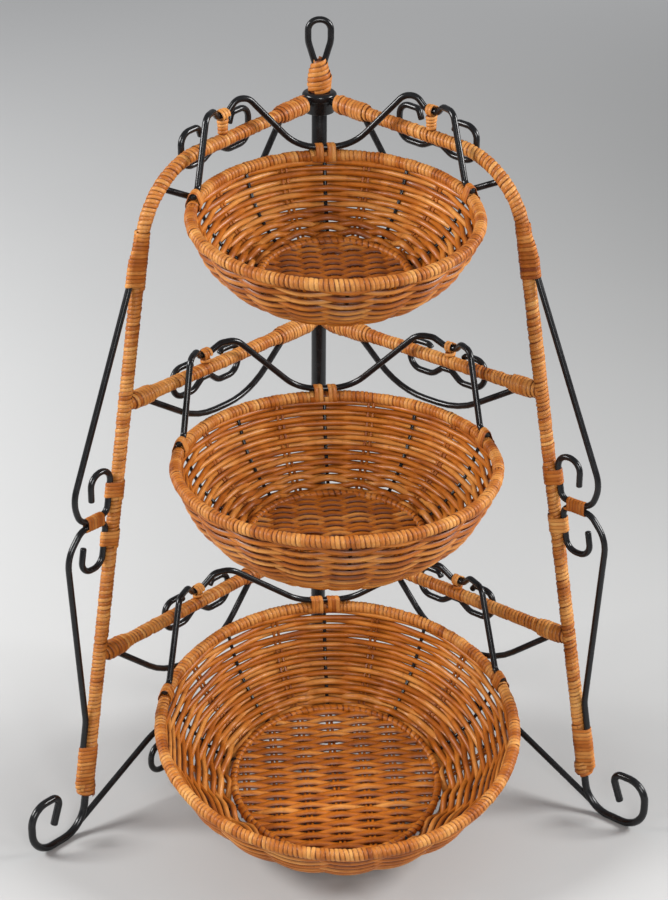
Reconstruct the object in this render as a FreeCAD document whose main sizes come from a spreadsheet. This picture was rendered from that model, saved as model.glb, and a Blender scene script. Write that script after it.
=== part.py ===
import FreeCAD, Part
import math
import os
import Sketcher
from types import SimpleNamespace
from FreeCAD import Placement, Rotation, Vector

# Three-tier stand: a steel pole, two rattan-wrapped wings at right angles with scroll wires, and
# three round wicker baskets, each hung from the wings by one bent wire hanger.
# The pole axis stands on the origin, +Z is up and the baskets face -Y. Millimetres and degrees.

SIDES = {"left": -1, "right": 1}
TIERS = ("upper", "middle", "lower")
RIBS_PER_BASKET = 8
ROD_SIDES = 8
WIRE_SIDES = 6
STRAND_SIDES = 4
BASKET_SIDES = 32
CARRY_TURNS = 3
BACK_TURNS = 2
BAND_CORNERS = 4
CHORD_DEGREES = 32
MITRED = 1

SIZES = {
    "wing_angle": (45, "each wing from straight ahead, degrees"),
    "seat_gap": (0.15, "between fixed pieces that touch"),
    "run_gap": (0.9, "round a hanger where it turns in its rail lashing"),
    "wire_dia": (5.8, "scrolls, swags, braces and hangers"),
    "pole_dia": (14, "centre pole"),
    "pole_wall": (1.4, "tube wall of the pole"),
    "plug_flange": (3, "foot plug under the pole end"),
    "plug_depth": (14, "foot plug inside the pole"),
    "collar_dia": (27, "collar body"),
    "collar_under": (13.5, "underside of the collar below the arm axis"),
    "collar_height": (12, "collar body"),
    "flange_dia": (31.5, "collar flange"),
    "flange_height": (7.5, "collar flange"),
    "flange_edge": (2, "chamfer of the flange"),
    "loop_wire_dia": (6, "carrying loop"),
    "loop_rise": (66, "top of the loop's wire above the collar"),
    "loop_width": (20.4, "across the loop's wire centres"),
    "loop_neck": (23, "upright legs of the loop inside the lashing"),
    "loop_bend": (20, "bend where the loop's legs part"),
    "rod_dia": (7, "arm, leg and foot rod"),
    "wrap_dia": (12.4, "over the rattan wrapping"),
    "arm_height": (621.5, "arm at the collar"),
    "arm_drop": (15.5, "fall of the arm to the shoulder corner"),
    "shoulder_reach": (222, "shoulder corner from the pole axis"),
    "shoulder_bend": (78, "bend from arm to leg"),
    "foot_reach": (333, "foot corner from the pole axis"),
    "foot_bend": (28, "bend from leg to foot scroll"),
    "foot_scroll": (48, "height of the foot scroll between wire centres"),
    "foot_tip_bend": (7.5, "bend before the tip of the foot scroll"),
    "foot_flat": (0.4, "depth of the flat filed under the foot"),
    "wrap_end": (38, "lower end of the leg wrapping above the floor"),
    "rail_rod_dia": (6, "rail rod"),
    "middle_rail_height": (405, "middle rail"),
    "lower_rail_height": (172, "lower rail"),
    "shoulder_fall": (29, "upper swag's outer end below its inner end"),
    "swag_bend": (85, "bends of the swag wires"),
    "lyre_reach": (43, "half width of a rail scroll"),
    "lyre_bend": (13, "round ends of a rail scroll"),
    "lyre_tip_bend": (5, "tips of a rail scroll"),
    "bow_top": (543, "upper end of the upper leg scroll"),
    "bow_leave": (512, "upper leg scroll leaves the leg"),
    "bow_waist": (306.3, "centre lashing of the leg scrolls"),
    "bow_waist_out": (31, "outer end of the centre lashing beyond a wire on the leg"),
    "bow_upper_out": (44.3, "outermost corner of the upper leg scroll beyond a wire on the leg"),
    "bow_upper_height": (333, "that corner above the floor"),
    "bow_lower_out": (44.6, "outermost corner of the lower leg scroll beyond a wire on the leg"),
    "bow_lower_height": (283, "that corner above the floor"),
    "bow_join": (112, "lower leg scroll meets the leg"),
    "bow_foot": (46, "lower end of the lower leg scroll"),
    "bow_bend": (30, "outer corners of the leg scrolls"),
    "bow_waist_bend": (14, "bends outside the centre lashing"),
    "bow_inner_bend": (8, "bends between the centre lashing and the leg"),
    "curl_top": (351, "top of the upper curl"),
    "curl_bottom": (261, "bottom of the lower curl"),
    "curl_width": (25.5, "curls across their wire centres"),
    "curl_drop": (25, "tip of a curl from its end"),
    "curl_bend": (12.4, "round ends of the curls"),
    "brace_rise": (62, "crest of the floor brace"),
    "brace_crest": (232, "that crest from the pole axis"),
    "brace_root": (50, "floor brace at the pole"),
    "brace_bend": (60, "crest of the floor brace"),
    "floor_scroll_height": (16, "floor scroll above the floor"),
    "floor_scroll_reach": (241, "end of the floor scroll from the pole axis"),
    "floor_curl": (28, "curl of the floor scroll between wire centres"),
    "floor_curl_bend": (13, "round end of the floor scroll"),
    "strand_dia": (3.6, "lashing strand"),
    "strand_pitch": (4.4, "from turn to turn of a lashing"),
    "strand_air": (0.5, "between a strand and what it ties"),
    "band_wall": (2.2, "rattan of a close-wound band"),
    "rail_band": (7, "rail lashing along the rail"),
    "curl_band": (15, "leg lashing beside a curl"),
    "waist_band": (13, "lashing where the leg scrolls meet"),
    "shoulder_band": (33, "leg lashing under the shoulder"),
    "foot_band": (54, "leg lashing above the foot"),
    "rim_band": (14, "rim lashing at a basket's side"),
    "rim_dia": (10, "wrapped rim of a basket"),
    "wall_thickness": (6, "woven wall of a basket"),
    "base_thickness": (6, "woven base of a basket"),
    "rib_dia": (3.4, "wire rib of a basket"),
    "lash_angle": (20, "side lashings behind the basket's middle, degrees"),
    "hanger_tail": (16, "hanger end along the rim"),
    "hanger_bend": (6.5, "tight bends of a hanger"),
    "hump_bend": (10, "small humps of a hanger"),
    "hanger_crest_bend": (26, "large hump of a hanger"),
    "hanger_back_bend": (40, "bends of a hanger beside the back lashing"),
    "hanger_back": (24, "half length of the hanger along the back rim"),
    "valley_run": (14, "hanger along the rail at the lashing, corner to corner"),
    "valley_bend": (5, "bends of the hanger beside the rail lashing"),
}

# One column for each tier: upper, middle, lower.
TIER_SIZES = {
    "rim_radius": ((122.8, 141.2, 161), "rim centre line"),
    "rim_height": ((573.2, 353, 104), "rim centre above the floor"),
    "back_gap": ((62, 69, 78), "back of the rim in front of the pole axis"),
    "lean_angle": ((6.6, 1.2, 12.5), "rim tilted forward, degrees"),
    "depth": ((62, 75, 78), "rim centre to the underside of the base"),
    "base_radius": ((68, 81, 98), "middle of the wall at the base"),
    "hang_reach": ((129, 156.6, 173), "rail lashing from the pole axis"),
    "valley_rise": ((23.5, 14.5, 14), "hanger's valley above the rail axis"),
    "hump_rise": ((7.5, 8, 10), "hanger's small humps above its valley"),
    "crest_rise": ((10.6, 6.5, 11.7), "hanger's large humps above its valley"),
    "lyre_inset": ((0, 10, 8), "rail scroll's middle inside of the rail lashing"),
    "lyre_dip": ((15, 22, 20), "rail scroll below the rail axis"),
    "lyre_crown": ((17, 6, 9), "rail scroll above the rail axis"),
    "swag_start": ((50, 46, 95), "swag's inner end from the pole axis"),
    "swag_end": ((207, 240, 288), "swag's outer end from the pole axis"),
    "swag_drop": ((51, 44, 57), "swag below the rail"),
}

# Corner places as shares of the sizes named beside them.
FOOT_SHARES = ((1.27, 0.0), (1.27, 1.0), (0.5, 1.0), (0.72, 0.42))   # of foot_scroll
LYRE_SHARES = ((0.12, -0.6), (0.38, -1.0), (1.0, -1.0), (1.0, 1.0), (0.5, 1.0), (0.42, 0.45))
SWAG_SHARES = (0.27, 0.63)              # of the swag's span
HUMP_SHARES = (0.48, 0.82)              # of the way from the rim lashing to the valley
CREST_SHARES = (0.12, 0.29)             # of the way from the valley to the back lashing
FLOOR_TIP_SHARE = 0.93                  # of floor_curl
BEND_SHARE = 0.49                       # of the shorter run beside a corner
LOOP_SHOULDER_SHARE = 0.7              # of loop_rise
BOWL_SHARES = ((0.2, 0.74), (0.52, 0.9))   # wall corners, of the depth and the rim radius
RING_SHARE = 1.0024                     # of a circle's radius, for flats that lie on both sides of it
RIM_SHARES = ((0.5, -0.866), (1.0, 0.0), (0.5, 0.866))   # rim corners, of half its thickness
STRAIGHT_SHARE = 1e-9                   # of a full turn, below which a run counts as straight

doc = FreeCAD.newDocument("TieredBasket")
sheet = doc.addObject("Spreadsheet::Sheet", "Sizes")
rows = [(name, value, note) for name, (value, note) in SIZES.items()]
for key, (values, note) in TIER_SIZES.items():
    rows += [(f"{tier}_{key}", value, f"{tier} tier: {note}") for tier, value in zip(TIERS, values)]
for row, (name, value, note) in enumerate(rows, start=1):
    sheet.set(f"A{row}", name)
    sheet.set(f"B{row}", str(value))
    sheet.set(f"C{row}", note)
    sheet.setAlias(f"B{row}", name)
doc.recompute()

S = SimpleNamespace(**{name: float(sheet.get(name)) for name, _, _ in rows})
PARTS = []

WING = math.radians(S.wing_angle)
WIRE_R = S.wire_dia / 2
ROD_R = S.rod_dia / 2
WRAP_R = S.wrap_dia / 2
RIM_R = S.rim_dia / 2
STRAND_R = S.strand_dia / 2
COLLAR_BASE = S.arm_height - S.collar_under
COLLAR_TOP = COLLAR_BASE + S.collar_height + S.flange_height
SHOULDER_Z = S.arm_height - S.arm_drop
FOOT_Z = ROD_R - S.foot_flat
LEG_SLOPE = (S.foot_reach - S.shoulder_reach) / (SHOULDER_Z - FOOT_Z)
BESIDE_LEG = (WRAP_R + WIRE_R + S.seat_gap) * math.hypot(1, LEG_SLOPE)
UP = Vector(0, 0, 1)


def tier_size(tier, key):
    return getattr(S, f"{tier}_{key}")


def arm_z(reach):
    """Height of the straight arm at a distance from the pole axis."""
    return S.arm_height - S.arm_drop * reach / S.shoulder_reach


def leg_reach(height):
    """Distance of the leg's axis from the pole axis."""
    return S.shoulder_reach + LEG_SLOPE * (SHOULDER_Z - height)


def rail_z(tier, reach):
    return arm_z(reach) if tier == "upper" else getattr(S, f"{tier}_rail_height")


def wing_point(side, reach, height, behind=0.0):
    """A point of a wing: distance from the pole axis, height, and distance behind the wing's plane."""
    return Vector(
        SIDES[side] * (reach * math.sin(WING) + behind * math.cos(WING)),
        behind * math.sin(WING) - reach * math.cos(WING),
        height,
    )


def rail_direction(tier, side):
    """Unit vector along a rail, from the leg towards the pole."""
    near, far = S.pole_dia, S.shoulder_reach
    inner, outer = [wing_point(side, reach, rail_z(tier, reach)) for reach in (near, far)]
    return (inner - outer).normalize()


def part(obj, label):
    obj.Label = label
    PARTS.append(obj)
    return obj


def shaped(name, shape):
    obj = doc.addObject("Part::Feature", name)
    obj.Shape = shape
    return obj


def bent_wire(corners):
    """Straight runs joined by bends, each bend a few short chords. Each corner is (point, bend radius)."""
    points = [corners[0][0]]
    for (before, _), (point, radius), (after, _) in zip(corners, corners[1:], corners[2:]):
        back = (before - point).normalize()
        ahead = (after - point).normalize()
        half = math.acos(max(-1.0, min(1.0, back.dot(ahead)))) / 2
        room = BEND_SHARE * min((before - point).Length, (after - point).Length)
        radius = min(radius, room * math.tan(half))
        turn = math.pi - 2 * half
        step = turn / math.ceil(turn / math.radians(CHORD_DEGREES))
        centre = point + (back + ahead).normalize() * (radius / math.sin(half))
        start = (point + back * (radius / math.tan(half)) - centre) / math.cos(step / 2)
        onward = back * (-radius / math.cos(step / 2))
        for count in range(round(turn / step)):
            angle = (count + 0.5) * step
            points.append(centre + start * math.cos(angle) + onward * math.sin(angle))
    points.append(corners[-1][0])
    return Part.makePolygon(points)


def rod(name, corners, radius_rule, sides=WIRE_SIDES):
    """A rod swept along its bent path. The rule binds its radius to the sheet."""
    path = shaped(f"{name}_path", bent_wire(corners))
    section = doc.addObject("Part::RegularPolygon", f"{name}_section")
    section.Polygon = sides
    section.setExpression("Circumradius", radius_rule)
    start = corners[0][0]
    section.Placement = Placement(start, Rotation(UP, corners[1][0] - start))
    sweep = doc.addObject("Part::Sweep", name)
    sweep.Sections = [section]
    sweep.Spine = (path, [f"Edge{i + 1}" for i in range(len(path.Shape.Edges))])
    sweep.Solid = True
    sweep.Transition = "Right corner"
    return sweep


def cylinder(name, start, direction, radius_rule, length_rule):
    obj = doc.addObject("Part::Cylinder", name)
    obj.setExpression("Radius", radius_rule)
    obj.setExpression("Height", length_rule)
    obj.Placement = Placement(start, Rotation(UP, direction))
    return obj


def cut(name, base, *tools):
    """The base less its tools."""
    for count, tool in enumerate(tools):
        last = count == len(tools) - 1
        obj = doc.addObject("Part::Cut", name if last else f"{name}_cut_{count}")
        obj.Base = base
        obj.Tool = tool
        base = obj
    return base


def turned(name, corners, height_rule="0"):
    """A turned piece: a closed profile of (radius rule, height rule) corners, revolved about Z."""
    body = doc.addObject("PartDesign::Body", name)
    sketch = body.newObject("Sketcher::SketchObject", f"{name}_profile")
    plane = [f for f in body.Origin.OriginFeatures if f.Role == "XZ_Plane"][0]
    sketch.AttachmentSupport = [(plane, "")]
    sketch.MapMode = "FlatFace"
    points = [Vector(sheet_value(r), sheet_value(z), 0) for r, z in corners]
    for start, end in zip(points, points[1:] + points[:1]):
        sketch.addGeometry(Part.LineSegment(start, end))
    count = len(points)
    for index in range(count):
        follower = (index + 1) % count
        sketch.addConstraint(Sketcher.Constraint("Coincident", index, 2, follower, 1))
    for index, rules in enumerate(corners):
        for kind, rule, value in zip(("DistanceX", "DistanceY"), rules, points[index]):
            where = sketch.addConstraint(Sketcher.Constraint(kind, -1, 1, index, 1, value))
            if value:
                sketch.setExpression(f"Constraints[{where}]", rule)
    turn = body.newObject("PartDesign::Revolution", f"{name}_turn")
    turn.Profile = sketch
    turn.ReferenceAxis = (sketch, ["V_Axis"])
    turn.Angle = 360
    if height_rule != "0":
        body.setExpression("Placement.Base.z", height_rule)
    return body


def stacked(name, corners, place):
    """A flat-sided solid through level polygons. Each corner is (radius rule, height rule)."""
    sections = []
    for count, (radius_rule, height_rule) in enumerate(corners):
        section = doc.addObject("Part::RegularPolygon", f"{name}_section_{count}")
        section.Polygon = BASKET_SIDES
        section.setExpression("Circumradius", radius_rule)
        if height_rule != "0":
            section.setExpression("Placement.Base.z", height_rule)
        sections.append(section)
    loft = doc.addObject("Part::Loft", name)
    loft.Sections = sections
    loft.Solid = True
    loft.Ruled = True
    loft.Placement = place
    return loft


def sheet_value(rule):
    """The number that a rule of sheet names comes to."""
    probe = doc.addObject("App::FeaturePython", "probe")
    probe.addProperty("App::PropertyFloat", "Value")
    probe.setExpression("Value", rule)
    probe.recompute()
    value = probe.Value
    doc.removeObject(probe.Name)
    return value


def loop_arcs(low_radius, high_radius, rise):
    """(height, radius, first angle, last angle) of the two arcs of a loop round two circles."""
    lean = math.asin((low_radius - high_radius) / rise)
    low = (0.0, low_radius, math.pi - lean, 2 * math.pi + lean)
    high = (rise, high_radius, lean, math.pi - lean)
    return low, high


def egg(low_radius, high_radius, rise):
    """Pieces of a loop round two circles, the second above the first: two arcs and two runs.

    Returns (kind, start, middle, end) in (across, up), anticlockwise from the lower circle's left.
    """
    arcs = []
    for height, radius, first, last in loop_arcs(low_radius, high_radius, rise):
        places = (first, (first + last) / 2, last)
        arcs.append(("arc", *[(radius * math.cos(a), height + radius * math.sin(a)) for a in places]))
    low, high = arcs
    return [low, ("line", low[-1], None, high[1]), high, ("line", high[-1], None, low[1])]


def band(centre, axis, up, length, low_radius, high_radius, rise, hollow=True):
    """A close-wound band of rattan round two rods, as one flat-sided sleeve along the axis."""
    axis = Vector(axis).normalize()
    up = (up - axis * up.dot(axis)).normalize()
    across = up.cross(axis)
    spans = loop_arcs(low_radius, high_radius, rise)

    def outline(extra):
        corners = []
        for height, radius, first, last in spans:
            step = (last - first) / BAND_CORNERS
            reach = (radius + extra) / math.cos(step / 2)
            for count in range(BAND_CORNERS):
                angle = first + (count + 0.5) * step
                corners.append(centre - axis * (length / 2) + across * (reach * math.cos(angle))
                               + up * (height + reach * math.sin(angle)))
        return Part.Face(Part.makePolygon(corners + corners[:1])).extrude(axis * length)

    solid = outline(S.band_wall)
    return solid.cut(outline(0.0)).Solids[0] if hollow else solid


def biarc(start, start_way, end, end_way):
    """Two arcs that leave and reach the given points along the given unit tangents."""
    chord = end - start
    ways = start_way + end_way
    a = 2 * (1 - start_way.dot(end_way))
    b = chord.dot(ways) * 2
    c = -chord.dot(chord)
    if start_way.cross(Vector(chord).normalize()).Length < STRAIGHT_SHARE:
        return [Part.LineSegment(start, end).toShape()]
    reach = -c / b if a < STRAIGHT_SHARE else (-b + math.sqrt(b * b - 4 * a * c)) / (2 * a)
    joint = (start + start_way * reach + end - end_way * reach) * 0.5
    return [
        Part.Arc(start, arc_middle(start, start_way, joint), joint).toShape(),
        Part.Arc(joint, arc_middle(end, end_way * -1, joint), end).toShape(),
    ]


def arc_middle(start, way, end):
    """Half-way point of the arc from start, along way, to end."""
    chord = end - start
    half = chord.Length / 2
    angle = way.getAngle(chord)
    side = (way - chord * (way.dot(chord) / chord.dot(chord))).normalize()
    return start + chord * 0.5 + side * (half * math.tan(angle / 2))


def winding(centre, axis, up, turns, low_radius, high_radius, rise):
    """A lashing strand in turns round two rods: one tube, advancing steadily along the axis."""
    axis = Vector(axis).normalize()
    up = (up - axis * up.dot(axis)).normalize()
    across = up.cross(axis)
    pieces = egg(low_radius + STRAND_R, high_radius + STRAND_R, rise)
    lengths = []
    for kind, start, middle, end in pieces:
        flat = [Vector(p[0], p[1], 0) for p in (start, middle, end) if p]
        lengths.append((Part.Arc(*flat) if kind == "arc" else Part.LineSegment(*flat)).length())
    advance = S.strand_pitch / sum(lengths)
    origin = centre - axis * (S.strand_pitch * turns / 2)
    places, run = [], 0.0
    for _ in range(turns):
        for (kind, start, middle, end), length in zip(pieces, lengths):
            places.append((start, run, way_at(kind, start, middle, end)))
            run += length
    places.append((pieces[0][1], run, places[0][2]))
    stations = []
    for (x, y), run, way in places:
        point = origin + across * x + up * y + axis * (advance * run)
        stations.append((point, (across * way[0] + up * way[1] + axis * advance).normalize()))
    edges = []
    for (start, start_way), (end, end_way) in zip(stations, stations[1:]):
        edges += biarc(start, start_way, end, end_way)
    spine = Part.Wire(Part.__sortEdges__(edges))
    first, first_way = stations[0]
    turn = Rotation(UP, first_way)
    corner = [first + turn.multVec(Vector(
        STRAND_R * math.cos(2 * math.pi * k / STRAND_SIDES),
        STRAND_R * math.sin(2 * math.pi * k / STRAND_SIDES), 0)) for k in range(STRAND_SIDES)]
    section = Part.makePolygon(corner + corner[:1])
    note_self_gap(edges, S.strand_dia)
    return spine.makePipeShell([section], True, False)


def way_at(kind, start, middle, end):
    """Unit tangent at the start of a loop piece."""
    if kind == "line":
        run = Vector(end[0] - start[0], end[1] - start[1], 0).normalize()
        return run.x, run.y
    curve = Part.Arc(*[Vector(p[0], p[1], 0) for p in (start, middle, end)])
    run = curve.tangent(curve.FirstParameter)[0].normalize()
    return run.x, run.y


SELF_GAPS = []
POINTS_PER_ARC = 6


def note_self_gap(edges, strand):
    """Keeps the least distance between neighbouring turns, measured on points of the strand's line."""
    points = []
    run = 0.0
    for edge in edges:
        points += [(run + edge.Length * k / POINTS_PER_ARC, p)
                   for k, p in enumerate(edge.discretize(POINTS_PER_ARC + 1)[:-1])]
        run += edge.Length
    gaps = [(p - q).Length - strand
            for i, (s, p) in enumerate(points) for (t, q) in points[i + 1:]
            if t - s > math.pi * strand]
    SELF_GAPS.append(min(gaps))


def build_pole():
    outer = cylinder("pole_outside", Vector(0, 0, S.plug_flange), UP, "Sizes.pole_dia / 2",
                     f"{COLLAR_TOP_RULE} - Sizes.plug_flange")
    bore = cylinder("pole_bore", Vector(0, 0, S.plug_flange), UP, "Sizes.pole_dia / 2 - Sizes.pole_wall",
                    f"{COLLAR_TOP_RULE} - Sizes.plug_flange")
    part(cut("pole", outer, bore), "centre_pole")
    spigot = "Sizes.pole_dia / 2 - Sizes.pole_wall - Sizes.seat_gap"
    part(turned("plug", [
        ("0", "0"),
        ("Sizes.pole_dia / 2", "0"),
        ("Sizes.pole_dia / 2", "Sizes.plug_flange - Sizes.seat_gap"),
        (spigot, "Sizes.plug_flange - Sizes.seat_gap"),
        (spigot, "Sizes.plug_flange + Sizes.plug_depth"),
        ("0", "Sizes.plug_flange + Sizes.plug_depth"),
    ]), "pole_foot_plug")
    bore = "Sizes.pole_dia / 2 + Sizes.seat_gap"
    part(turned("collar", [
        (bore, "0"),
        ("Sizes.collar_dia / 2", "0"),
        ("Sizes.collar_dia / 2", "Sizes.collar_height"),
        ("Sizes.flange_dia / 2", "Sizes.collar_height"),
        ("Sizes.flange_dia / 2", "Sizes.collar_height + Sizes.flange_height - Sizes.flange_edge"),
        ("Sizes.flange_dia / 2 - Sizes.flange_edge", "Sizes.collar_height + Sizes.flange_height"),
        (bore, "Sizes.collar_height + Sizes.flange_height"),
    ], COLLAR_BASE_RULE), "top_collar")


COLLAR_BASE_RULE = "Sizes.arm_height - Sizes.collar_under"
COLLAR_TOP_RULE = f"{COLLAR_BASE_RULE} + Sizes.collar_height + Sizes.flange_height"


def build_carry_loop():
    """Teardrop loop whose two legs stand on the collar inside a lashing."""
    foot = COLLAR_TOP + S.seat_gap
    neck = COLLAR_TOP + S.loop_neck
    top = COLLAR_TOP + S.loop_rise
    leg = (S.loop_wire_dia + S.seat_gap) / 2
    half = S.loop_width / 2
    left = [
        (Vector(-leg, 0, foot), 0),
        (Vector(-leg, 0, neck), S.loop_bend),
        (Vector(-half, 0, COLLAR_TOP + S.loop_rise * LOOP_SHOULDER_SHARE), S.loop_bend),
        (Vector(-half, 0, top), half - S.seat_gap),
    ]
    right = [(Vector(-p.x, p.y, p.z), bend) for p, bend in reversed(left)]
    part(rod("loop", left + right, "Sizes.loop_wire_dia / 2", ROD_SIDES), "carry_loop")
    hold = S.loop_wire_dia / 2 + S.strand_air
    low = Vector(-leg, 0, (foot + STRAND_R + COLLAR_TOP + S.strand_pitch * (CARRY_TURNS + 1)) / 2)
    lash = winding(low, UP, Vector(1, 0, 0), CARRY_TURNS, hold, hold, 2 * leg)
    part(shaped("loop_lash", lash), "carry_loop_lashing")


def leg_corners(side, start):
    """Corners of the arm, leg and foot rod, from a distance out of the pole axis."""
    foot = [(S.foot_reach + S.foot_scroll * r, FOOT_Z + S.foot_scroll * z) for r, z in FOOT_SHARES]
    bends = (S.foot_scroll / 2 - S.seat_gap, S.foot_scroll / 2 - S.seat_gap, S.foot_tip_bend, 0)
    corners = [
        (wing_point(side, start, arm_z(start)), 0),
        (wing_point(side, S.shoulder_reach, SHOULDER_Z), S.shoulder_bend),
        (wing_point(side, S.foot_reach, FOOT_Z), S.foot_bend),
    ]
    return corners + [(wing_point(side, *place), bend) for place, bend in zip(foot, bends)]


def build_wing(side):
    """Arm, leg and foot in one rod, its rattan wrapping, and the two wrapped rails."""
    start = S.flange_dia / 2 + S.seat_gap
    corners = leg_corners(side, start)
    whole = rod(f"{side}_leg_sweep", corners, "Sizes.rod_dia / 2", ROD_SIDES)
    floor = doc.addObject("Part::Box", f"{side}_foot_file")
    for edge, rule in (("Length", "Sizes.foot_scroll * 3"), ("Width", "Sizes.foot_scroll * 3"),
                       ("Height", "Sizes.rod_dia")):
        floor.setExpression(edge, rule)
    under = wing_point(side, S.foot_reach, -S.rod_dia)
    half = S.foot_scroll * 3 / 2
    floor.Placement = Placement(under - Vector(half, half, 0), Rotation())
    leg = part(cut(f"{side}_leg", whole, floor), f"{side}_leg_rod")
    wrapped = [corners[0], corners[1], (wing_point(side, leg_reach(S.wrap_end), S.wrap_end), 0)]
    outside = rod(f"{side}_wrap_outside", wrapped, "Sizes.wrap_dia / 2", ROD_SIDES)
    inside = rod(f"{side}_wrap_inside", wrapped, "Sizes.rod_dia / 2 + Sizes.seat_gap", ROD_SIDES)
    holes = []
    clear = rod(f"{side}_leg_clear", wrapped, "Sizes.rod_dia / 2 + Sizes.seat_gap", ROD_SIDES)
    for tier in TIERS[1:]:
        height = rail_z(tier, 0)
        inner = S.pole_dia / 2 + S.seat_gap
        begin = wing_point(side, inner, height)
        outward = wing_point(side, 1, 0)
        length = leg_reach(height) - inner
        name = f"{side}_{tier}_rail"
        line = [(begin, 0), (begin + outward * length, 0)]
        bar = rod(f"{name}_bar", line, "Sizes.rail_rod_dia / 2", ROD_SIDES)
        part(cut(name, bar, clear), name)
        holes.append(rod(f"{name}_hole", line, "Sizes.rail_rod_dia / 2 + Sizes.seat_gap", ROD_SIDES))
        skin = rod(f"{name}_skin", line, "Sizes.wrap_dia / 2", ROD_SIDES)
        beside = rod(f"{name}_beside", wrapped, "Sizes.wrap_dia / 2 + Sizes.seat_gap", ROD_SIDES)
        part(cut(f"{name}_wrapping", skin, holes[-1], beside), f"{name}_wrap")
    part(cut(f"{side}_wrap", outside, inside, *holes), f"{side}_leg_wrap")
    return leg


def build_swags(side):
    """Sagging wires under the arm and rails, their ends scribed to the wrapping."""
    arm = leg_corners(side, S.collar_dia / 2)[:2]
    arm.append((wing_point(side, leg_reach(S.wrap_end), S.wrap_end), 0))
    for tier in TIERS:
        begin, end, drop = [tier_size(tier, f"swag_{key}") for key in ("start", "end", "drop")]
        top = rail_z(tier, begin)
        far = top - S.shoulder_fall if tier == "upper" else top
        low = rail_z(tier, (begin + end) / 2) - drop
        inner, outer = [begin + share * (end - begin) for share in SWAG_SHARES]
        corners = [(begin, top, 0), (inner, low, S.swag_bend), (outer, low, S.swag_bend), (end, far, 0)]
        wire = rod(f"{side}_{tier}_swag_wire",
                   [(wing_point(side, r, z), bend) for r, z, bend in corners],
                   "Sizes.wire_dia / 2")
        path = arm if tier == "upper" else [
            (wing_point(side, 0, top), 0), (wing_point(side, leg_reach(top), top), 0)]
        clear = rod(f"{side}_{tier}_swag_clear", path, "Sizes.wrap_dia / 2 + Sizes.seat_gap", ROD_SIDES)
        part(cut(f"{side}_{tier}_swag", wire, clear), f"{side}_{tier}_swag")


def build_rail_scrolls(side):
    """Lyre-shaped wires behind the arm and rails, each with two curled ends."""
    behind = WRAP_R + WIRE_R + S.seat_gap
    bends = (S.lyre_tip_bend, S.lyre_bend, S.lyre_bend, S.lyre_bend, S.lyre_tip_bend, 0)
    for tier in TIERS:
        reach = tier_size(tier, "hang_reach") - tier_size(tier, "lyre_inset")
        corners = []
        for (across, rise), bend in zip(LYRE_SHARES, bends):
            height = tier_size(tier, "lyre_crown" if rise > 0 else "lyre_dip")
            corners.append((across * S.lyre_reach, rise * height, bend))
        mirrored = [(-across, rise, bend) for across, rise, bend in reversed(corners)]
        places = [(wing_point(side, reach + across, rail_z(tier, reach + across) + rise, behind), bend)
                  for across, rise, bend in mirrored + corners]
        name = f"{side}_{tier}_rail_scroll"
        part(rod(name + "_wire", places, "Sizes.wire_dia / 2"), name)


def beside_leg(height):
    """Distance from the pole axis of a wire that lies along the outside of the leg."""
    return leg_reach(height) + BESIDE_LEG


WAIST_REACH = beside_leg(S.bow_waist) + S.bow_waist_out


def build_leg_scrolls(side):
    """Two bowed wires outside the leg, each with one end curled, tied together at the waist."""
    step = (S.wire_dia + 2 * S.seat_gap) / 2
    upper = S.bow_waist + step
    lower = S.bow_waist - step
    tip = S.curl_top - S.curl_drop
    bow = [
        (beside_leg(S.bow_top), S.bow_top, 0),
        (beside_leg(S.bow_leave), S.bow_leave, S.bow_bend),
        (beside_leg(S.bow_upper_height) + S.bow_upper_out, S.bow_upper_height, S.bow_bend),
        (WAIST_REACH, upper, S.bow_waist_bend),
        (beside_leg(upper), upper, S.bow_inner_bend),
        (beside_leg(S.curl_top), S.curl_top, S.curl_bend),
        (beside_leg(S.curl_top) + S.curl_width, S.curl_top, S.curl_bend),
        (beside_leg(S.curl_top) + S.curl_width, tip, 0),
    ]
    tip = S.curl_bottom + S.curl_drop
    foot_bow = [
        (beside_leg(S.bow_foot), S.bow_foot, 0),
        (beside_leg(S.bow_join), S.bow_join, S.bow_bend),
        (beside_leg(S.bow_lower_height) + S.bow_lower_out, S.bow_lower_height, S.bow_bend),
        (WAIST_REACH, lower, S.bow_waist_bend),
        (beside_leg(lower), lower, S.bow_inner_bend),
        (beside_leg(S.curl_bottom), S.curl_bottom, S.curl_bend),
        (beside_leg(S.curl_bottom) + S.curl_width, S.curl_bottom, S.curl_bend),
        (beside_leg(S.curl_bottom) + S.curl_width - LEG_SLOPE * S.curl_width, tip, 0),
    ]
    for name, line in (("upper_leg_scroll", bow), ("lower_leg_scroll", foot_bow)):
        places = [(wing_point(side, r, z), bend) for r, z, bend in line]
        part(rod(f"{side}_{name}_wire", places, "Sizes.wire_dia / 2"), f"{side}_{name}")


def foot_bend_middle():
    """Distance from the pole axis and height of the middle of the bend from leg to foot."""
    steep = math.hypot(1, LEG_SLOPE)
    across, rise = 1 - LEG_SLOPE / steep, 1 / steep
    half = math.atan2(rise, across)
    inward = S.foot_bend * (1 / math.sin(half) - 1) / math.hypot(across, rise)
    return S.foot_reach + across * inward, FOOT_Z + rise * inward


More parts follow.
